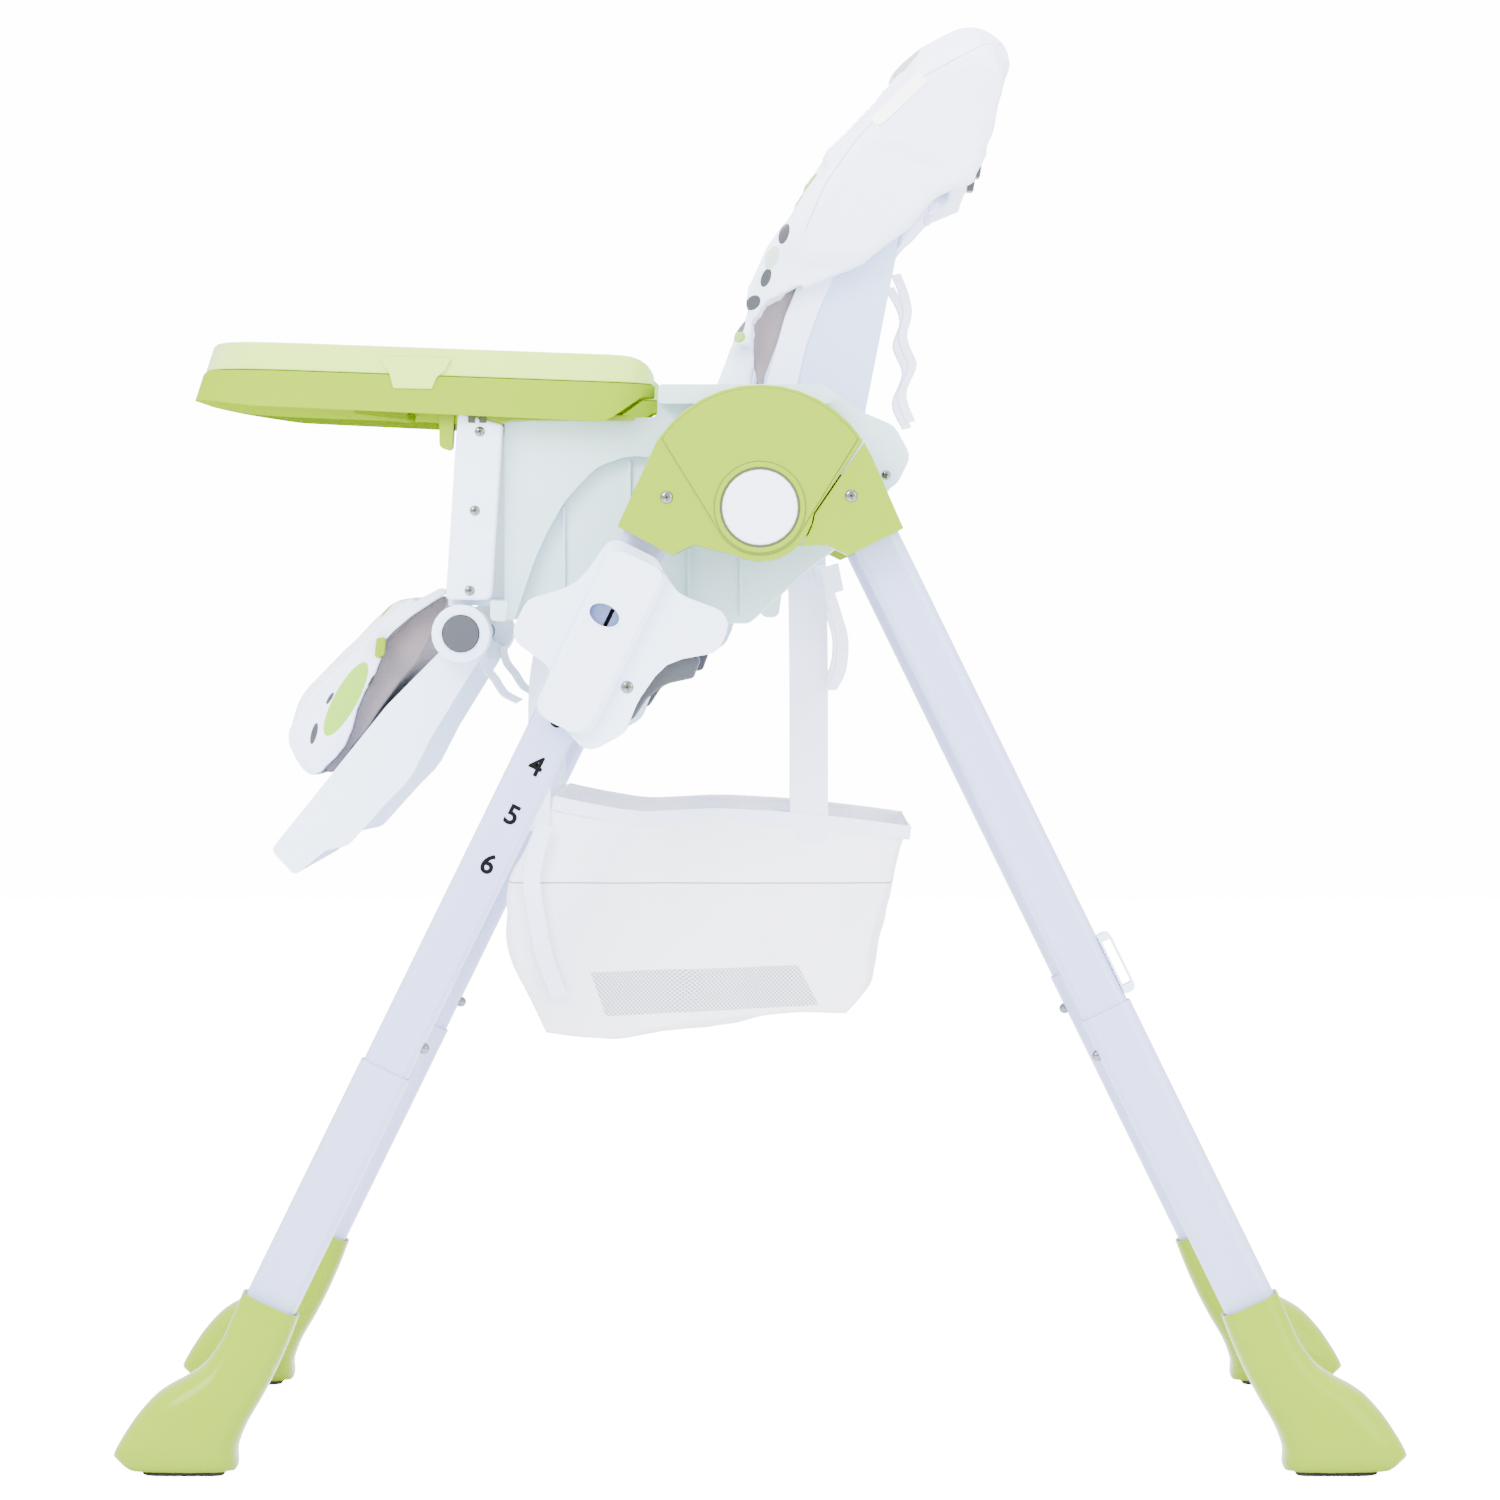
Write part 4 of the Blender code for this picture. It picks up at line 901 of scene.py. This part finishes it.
flap_outline = rounded([(x, z, 0.004) for x, z in FLAP_EDGE + LINING_EDGE[::-1][1:-1]], 0.6)
for flap in plates("calf_flap", flap_outline, 0.149, 0.1625, CALF_SIDE, "footrest",
                   0.003):
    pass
plates("calf_tab", rounded(CALF_TAB), 0.16, 0.172, MATERIALS["lime_plastic"], "footrest",
       0.001)


def hem_seam(co):
    """The hood is held by its hem, where it is pulled down over the shell."""
    return 1.0 if co.z < 0.8 else near(abs(co.y), 0.137, 0.005)


PULL = Vector((0.072, 0.945))


def hood_folds(item):
    """Folds that run out from where the hood is pulled tight on its sides."""
    for vertex in item.data.vertices:
        co = vertex.co
        if abs(co.y) < 0.155:
            continue
        from_pull = Vector((co.x, co.z)) - PULL
        turn = math.atan2(from_pull.y, from_pull.x)
        fade = min(from_pull.length / 0.03, 1.0) * max(0.0, 1 - from_pull.length / 0.13)
        fold = math.sin(turn * 11 + 1.3 * math.sin(turn * 3)) * noise.noise(
            Vector((turn * 1.7, from_pull.length * 25, 3.0)))
        vertex.co = co + vertex.normal * (0.0042 * fade * fold)


HOOD_FRONT = (
    (0.83, -0.016, 0.004), (0.8416, -0.011, 0.007), (0.856, -0.0005, 0.005),
    (0.885, 0.0133, 0.0045), (0.8995, 0.021, 0.006), (0.914, 0.029, 0.0075),
    (0.9285, 0.0379, 0.01), (0.943, 0.0466, 0.014), (0.9575, 0.0574, 0.016),
    (0.972, 0.069, 0.0165), (0.9864, 0.0821, 0.0165), (1.0009, 0.0965, 0.011),
    (1.0154, 0.1146, 0.005), (1.03, 0.135, 0.0),
)


def pull_forward(item):
    """The hood's front rim and brow stand forward of the shell, its back is drawn in."""
    for vertex in item.data.vertices:
        co = vertex.co
        for low, high in zip(HOOD_FRONT, HOOD_FRONT[1:]):
            if low[0] <= co.z < high[0]:
                t = (co.z - low[0]) / (high[0] - low[0])
                front = low[1] + (high[1] - low[1]) * t
                pull = low[2] + (high[2] - low[2]) * t
                ahead = 1 - min(max((co.x - front - 0.012) / 0.065, 0.0), 1.0)
                co.x -= pull * ahead
        co.x -= 0.0045 * near(co.z, 0.975, 0.035) * min(max((co.x - 0.12) / 0.03, 0.0), 1.0)


hood = inflate(soft_base("backrest_cover", 0.0045, 3), 3.0, 0.003, hem_seam)
pull_forward(hood)
LINING_GAP = (
    (0.03, 0.845, 0.001), (0.004, 0.831, 0.003), (-0.0067, 0.816, 0.004), (-0.0069, 0.8, 0.006),
    (-0.0044, 0.7842, 0.003), (0.0003, 0.76, 0.001), (0.01, 0.76, 0.001), (0.03, 0.82, 0.001),
)
hood_folds(hood)
for _, side in SIDES:
    cut_now(hood, slab(rounded(LINING_GAP), side, 0.148, 0.21))
wrinkle(hood, 0.0011, 30.0, stretch=(1, 1, 0.5))
SPOTS = (
    (0.0169, 0.8807, 0.0036, 0.0079, -0.3, PRINT_GREY),
    (0.0039, 0.849, 0.0034, 0.007, -0.35, PRINT_GREY),
    (0.0082, 0.8634, 0.0046, 0.0088, -0.38, (0.45, 0.56, 0.52)),
    (-0.0054, 0.831, 0.0046, 0.0062, -0.75, PRINT_GREY),
    (-0.0141, 0.8145, 0.0028, 0.006, -0.25, PRINT_GREY),
    (-0.0155, 0.8066, 0.0046, 0.0042, -0.25, PRINT_GREEN),
)
HOOD_SEAM = (
    (0.176, 1.0265), (0.1686, 1.0224), (0.1399, 1.006), (0.1127, 0.991), (0.09, 0.972),
    (0.066, 0.945), (0.046, 0.915), (0.033, 0.885),
)
HOOD_PRINT = printed_fabric("hood_print", 22.0, (1, 0.72, 1), True, SPOTS, seamed=True)
finish_soft(hood, HOOD_PRINT, "backrest", "backrest_cover",
            "backrest_cover_soft")
store(hood, "line", lambda co: line_distance(co, HOOD_SEAM))


def surface_of(item):
    """Looks up how far out a finished piece reaches at a point of the side view."""
    tree = BVHTree.FromPolygons([v.co for v in item.data.vertices],
                                [p.vertices for p in item.data.polygons])

    def reach(x, z, side, fallback=0.165):
        hit = tree.ray_cast(Vector((x, side * 0.4, z)), Vector((0, -side, 0)))[0]
        return abs(hit.y) if hit else fallback
    return reach


def patch_on(reach, start, end, width, side, lift, thick, steps=24):
    """Strip that follows a surface's side from one point to another."""
    along = Vector(end) - Vector(start)
    length = along.length
    along.normalize()
    across = Vector((-along.y, along.x))
    rings = []
    for number in range(steps + 1):
        t = number / steps * length
        half = width / 2
        if t < half:
            half = max(math.sqrt(max(half ** 2 - (half - t) ** 2, 0)), 0.0004)
        middle = Vector(start) + along * t
        low, high = [], []
        for k in range(7):
            p = middle + across * half * (k / 3 - 1)
            y = reach(p.x, p.y, side) + lift
            low.append((p.x, side * (y - thick), p.y))
            high.append((p.x, side * y, p.y))
        rings.append(low + high[::-1])
    return loft(rings, "patch")


SHELL_BAND = (
    (0.056, 0.859, 0.002), (0.0423, 0.8263, 0.03), (0.033, 0.8006, 0.03), (0.026, 0.77, 0.02),
    (0.02, 0.72, 0.003), (-0.008, 0.72, 0.003), (0.0005, 0.76, 0.02), (0.0175, 0.822, 0.02),
    (0.029, 0.85, 0.004),
)
plates("lining", rounded(LINING_GAP), 0.148, 0.1585, LINING, "backrest", 0.001)
# the band is a lighter white than the shell beside it: painted light on the raised side band
plates("lit_shell_band", rounded(SHELL_BAND), 0.159, 0.1618, BUTTON_WHITE, "backrest",
       0.0012)
hood_reach = surface_of(hood)
for side_name, side in SIDES:
    tab = patch_on(hood_reach, (0.0815, 0.9605), (0.1165, 0.9935), 0.0098, side, 0.0016, 0.0022)
    place("hood_tab_" + side_name, tab, TAB_WHITE, "backrest", sharp=60)


# ---- straps and basket

def ribbon(path, width, thick=0.0012, wave=0.0, across=(0, 1, 0), flat_out=False):
    """Flat strap along a path of points, with its width along one direction.

    A strap that is flat out has its width across the path in the side view instead.
    """
    side_way = Vector(across).normalized()
    points = [Vector(p) for p in path]
    dense = []
    for index in range(len(points) - 1):
        steps = max(2, int((points[index + 1] - points[index]).length / 0.004))
        for number in range(steps):
            t = index + number / steps
            dense.append(spline_point(points, t))
    dense.append(points[-1])
    rings = []
    for index, centre in enumerate(dense):
        before, after = dense[max(index - 1, 0)], dense[min(index + 1, len(dense) - 1)]
        along = (after - before).normalized()
        if flat_out:
            side_way = along.cross(Vector((0, 1, 0))).normalized()
        normal = along.cross(side_way).normalized()
        ripple = wave * noise.noise(centre * 40)
        half = width / 2
        middle = centre + normal * ripple
        ring = []
        for u, v in ((-1, -1), (0, -1.15), (1, -1), (1, 1), (0, 1.15), (-1, 1)):
            ring.append(tuple(middle + side_way * (u * half) + normal * (v * thick / 2)))
        rings.append(ring)
    length = sum((b - a).length for a, b in zip(dense, dense[1:]))
    return loft(rings, "ribbon"), length


STRAP_THICK = 0.0012


def strap(name, path, width, body, across=(0, 1, 0),
          wave=0.0008):
    """Webbing along a path, of the given width."""
    mesh, length = ribbon(path, width, STRAP_THICK, wave, across)
    item = place(name, mesh, WEBBING, body, sharp=60)
    return item


BASKET_RIM = (
    (-0.15, 0.475), (-0.0905, 0.4642), (-0.0353, 0.4659), (0.035, 0.462), (0.1085, 0.453),
)
BASKET_LEFT = (
    (-0.15, 0.475), (-0.169, 0.4373), (-0.179, 0.4147), (-0.1805, 0.39), (-0.177, 0.355),
    (-0.164, 0.325), (-0.155, 0.304),
)
BASKET_RIGHT = (
    (0.1085, 0.453), (0.099, 0.4373), (0.0927, 0.4122), (0.086, 0.39), (0.079, 0.3633),
    (0.0764, 0.337), (0.062, 0.318),
)
BASKET_FLOOR = (
    (-0.155, 0.304), (-0.108, 0.3), (-0.0704, 0.3068), (-0.0202, 0.3131), (0.02, 0.3185),
    (0.062, 0.318),
)
BASKET_HALF = 0.155
STRAP_SIDE = 0.1565
LOOP_SIDE = 0.164
ADJUSTERS = ((0.16, 0.936, 0.0085), (0.164, 0.962, 0.005), (0.127, 0.906, 0.0035))


def along_path(path, count):
    result = []
    for number in range(count + 1):
        t = number / count * (len(path) - 1)
        result.append(spline_point(path, t))
    return result


def wall_patch(columns, rows):
    """Side wall of the basket as a grid between its four edges, in X and Z."""
    top, bottom = along_path(BASKET_RIM, columns), along_path(BASKET_FLOOR, columns)
    left, right = along_path(BASKET_LEFT, rows), along_path(BASKET_RIGHT, rows)
    grid = []
    for j in range(rows + 1):
        v = j / rows
        line = []
        for i in range(columns + 1):
            u = i / columns
            line.append(top[i] * (1 - v) + bottom[i] * v + left[j] * (1 - u) + right[j] * u
                        - (top[0] * (1 - u) * (1 - v) + top[-1] * u * (1 - v)
                           + bottom[0] * (1 - u) * v + bottom[-1] * u * v))
        grid.append(line)
    return grid


def ease_in(value):
    return min(1.0, 4 * value * (1 - value)) ** 0.5


def basket_mesh():
    """Open basket of one skin: two side walls, a front, a rear and a floor."""
    bm = bmesh.new()
    rows, columns, across_steps = 44, 64, 72
    grid = wall_patch(columns, rows)

    def skin(points, push, looks):
        high, wide = len(points), len(points[0])
        verts = []
        for j, line in enumerate(points):
            for i, co in enumerate(line):
                free = ease_in(i / (wide - 1)) * ease_in(j / (high - 1))
                fold = noise.noise(Vector((co.x * 20, co.y * 20, co.z * 11))) * 0.0075
                fine = noise.noise(Vector((co.x * 62, co.y * 62, co.z * 30 + 7))) * 0.0022
                verts.append(bm.verts.new(co + push * (free * (0.005 + fold + fine))))
        for j in range(high - 1):
            for i in range(wide - 1):
                corner = j * wide + i
                face = bm.faces.new((verts[corner], verts[corner + 1], verts[corner + wide + 1],
                                     verts[corner + wide]))
                face.smooth = True
                face.material_index = looks

    span = [BASKET_HALF * (2 * k / across_steps - 1) for k in range(across_steps + 1)]
    for side in (-1, 1):
        skin([[Vector((p.x, side * BASKET_HALF, p.y)) for p in line] for line in grid],
             Vector((0, side, 0)), 0)
    for column, push in ((0, -1), (-1, 1)):
        skin([[Vector((line[column].x, y, line[column].y)) for y in span] for line in grid],
             Vector((push, 0, 0)), 0)
    skin([[Vector((p.x, y, p.y)) for y in span] for p in grid[-1]], Vector((0, 0, -1)), 1)
    bmesh.ops.remove_doubles(bm, verts=bm.verts, dist=0.0004)
    return to_mesh(bm, "basket")


WINDOW_CORNERS = ((-0.112, 0.316), (0.042, 0.324), (0.027, 0.353), (-0.123, 0.348))
WALL_MESH = mesh_cloth("basket_wall", 2100.0, WINDOW_CORNERS)
FLOOR_MESH = mesh_cloth("floor_mesh", 2100.0)
basket = new_item("basket_cloth", basket_mesh())
for look in (WALL_MESH, FLOOR_MESH):
    basket.data.materials.append(look)
thicken = basket.modifiers.new("thick", "SOLIDIFY")
thicken.thickness = STRAP_THICK
thicken.offset = -1
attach(basket, "seat")
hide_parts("basket")


def tape(name, path, lift, width):
    """Binding sewn along a line of each side wall of the basket, given in X and Z."""
    for side_name, side in SIDES:
        y = side * (BASKET_HALF + lift)
        points = [(x, y, z) for x, z in path]
        mesh, length = ribbon(points, width, STRAP_THICK, 0.0, (0, 1, 0), flat_out=True)
        item = place(f"{name}_{side_name}", mesh, PLAIN_FABRIC, "seat", sharp=60)


for side_name, side in SIDES:
    y = side * STRAP_SIDE
    strap("basket_strap_rear_" + side_name,
          [(0.033, y, 0.66), (0.0345, y, 0.6), (0.035, y, 0.54), (0.035, y, 0.472),
           (0.035, side * 0.157, 0.44)], 0.0275, "seat", across=(1, 0, 0))
    strap("basket_strap_front_" + side_name,
          [(-0.15, y, 0.61), (-0.157, y, 0.575), (-0.16, y, 0.545), (-0.16, y, 0.478),
           (-0.16, side * 0.157, 0.45)], 0.016, "seat", across=(1, 0, 0))
tape("rim_tape", [(p.x, p.y - 0.0045) for p in along_path(BASKET_RIM, 8)], 0.0022, 0.01)
tape("corner_tape", [(-0.156, 0.455), (-0.165, 0.42), (-0.162, 0.39), (-0.156, 0.36),
                     (-0.145, 0.33)], 0.0085, 0.012)

for side_name, side in SIDES:
    y = side * LOOP_SIDE
    strap("label_strap_" + side_name,
          [(0.043, y, 0.642), (0.05, y, 0.62), (0.0545, y, 0.605), (0.059, y, 0.587),
           (0.057, y, 0.565), (0.05, y, 0.552)], 0.011, "seat", across=(0.75, 0.65, 0))
    strap("elastic_loop_" + side_name,
          [(-0.201, y, 0.581), (-0.1985, y, 0.569), (-0.1911, y, 0.5593), (-0.1851, y, 0.5497),
           (-0.1742, y, 0.5436)], 0.01, "seat", across=(0.4, 0.8, 0.25))
    strap("hood_loop_" + side_name,
          [(0.099, side * 0.09, 0.856), (0.108, side * 0.092, 0.83),
           (0.103, side * 0.094, 0.81), (0.112, side * 0.095, 0.79),
           (0.104, side * 0.094, 0.768), (0.111, side * 0.093, 0.748)], 0.018,
          "backrest", across=(0.35, 0.9, 0.1), wave=0.003)
CARE_LABEL = ((0.0435, 0.64, 0.001), (0.047, 0.62, 0.001), (0.06, 0.624, 0.001),
              (0.056, 0.644, 0.001))
plates("care_label", rounded(CARE_LABEL), 0.169, 0.1697, BUTTON_WHITE, "seat",
       smooth=False)
for number, (x, z, tall) in enumerate(ADJUSTERS):
    outline = rounded([(x - 0.004, z - tall, 0.001), (x + 0.001, z - tall, 0.001),
                       (x + 0.0035, z + tall, 0.001), (x - 0.003, z + tall, 0.001)])
    slot = "white_plastic" if number else "grey_plastic"
    plates(f"strap_adjuster_{number}", outline, 0.062, 0.088,
           BUTTON_WHITE if number else MATERIALS[slot], "backrest", 0.001)

for side_name, side in SIDES:
    strap("shoulder_strap_" + side_name,
          [(0.086, side * 0.055, 0.925), (0.07, side * 0.055, 0.895),
           (0.05, side * 0.052, 0.84), (0.03, side * 0.048, 0.77),
           (-0.01, side * 0.042, 0.7), (-0.065, side * 0.03, 0.653)], 0.024, "backrest")
    strap("waist_strap_" + side_name,
          [(0.01, side * 0.15, 0.66), (-0.02, side * 0.11, 0.652),
           (-0.055, side * 0.06, 0.65), (-0.07, side * 0.025, 0.65)], 0.024, "seat",
          across=(0.6, 0.0, 0.8))


# ---- stage

def area_light(name, place_at, target, size, power, colour=(1, 1, 1)):
    data = bpy.data.lights.new(name, "AREA")
    data.energy, data.size, data.color = power, size, colour
    item = bpy.data.objects.new(name, data)
    bpy.context.collection.objects.link(item)
    item.location = place_at
    item.rotation_euler = (Vector(target) - Vector(place_at)).to_track_quat(
        "-Z", "Y").to_euler()
    return item


def set_world(camera, glossy, other):
    """White surround: pure white behind the chair, softer in its light and reflections."""
    world = bpy.data.worlds.new("world")
    bpy.context.scene.world = world
    world.use_nodes = True
    path = add_node(world, "ShaderNodeLightPath")
    lit = calc(world, "MULTIPLY_ADD", path.outputs["Is Camera Ray"], camera - other, other)
    lit = calc(world, "MULTIPLY_ADD", path.outputs["Is Glossy Ray"], glossy - other, lit)
    world.node_tree.links.new(lit, world.node_tree.nodes["Background"].inputs["Strength"])
    world.node_tree.nodes["Background"].inputs["Color"].default_value = (1, 1, 1, 1)


set_world(camera=15.0, glossy=2.4, other=4.6)
area_light("key", (-1.8, -2.6, 2.6), (0, 0, 0.6), 1.6, 210)
area_light("fill", (2.2, -2.2, 1.6), (0, 0, 0.5), 2.0, 80)
area_light("top", (0.0, 0.2, 3.2), (0, 0, 0.5), 2.4, 140)

floor_mesh = prism([(-8, -0.02), (8, -0.02), (8, 0.0), (-8, 0.0)], -8, 8)
FLOOR = material("floor", (0.93, 0.93, 0.93), 0.12)
seen = add_node(FLOOR, "ShaderNodeLightPath").outputs["Is Camera Ray"]
FLOOR.node_tree.links.new(calc(FLOOR, "MULTIPLY", seen, 14.0),
                          FLOOR.node_tree.nodes["Principled BSDF"].inputs["Emission Strength"])
FLOOR.node_tree.nodes["Principled BSDF"].inputs["Emission Color"].default_value = (1, 1, 1, 1)
floor = place("floor", floor_mesh, FLOOR, None, smooth=False)

camera_data = bpy.data.cameras.new("camera")
camera = bpy.data.objects.new("camera", camera_data)
bpy.context.collection.objects.link(camera)
camera.location = (0.014, -4.55, 0.617)
camera.rotation_euler = (math.radians(90), 0, 0)
camera_data.lens = 145.8
camera_data.sensor_width = 36
camera_data.shift_x = -0.02
camera_data.shift_y = -0.1
camera_data.clip_end = 60
bpy.context.scene.camera = camera
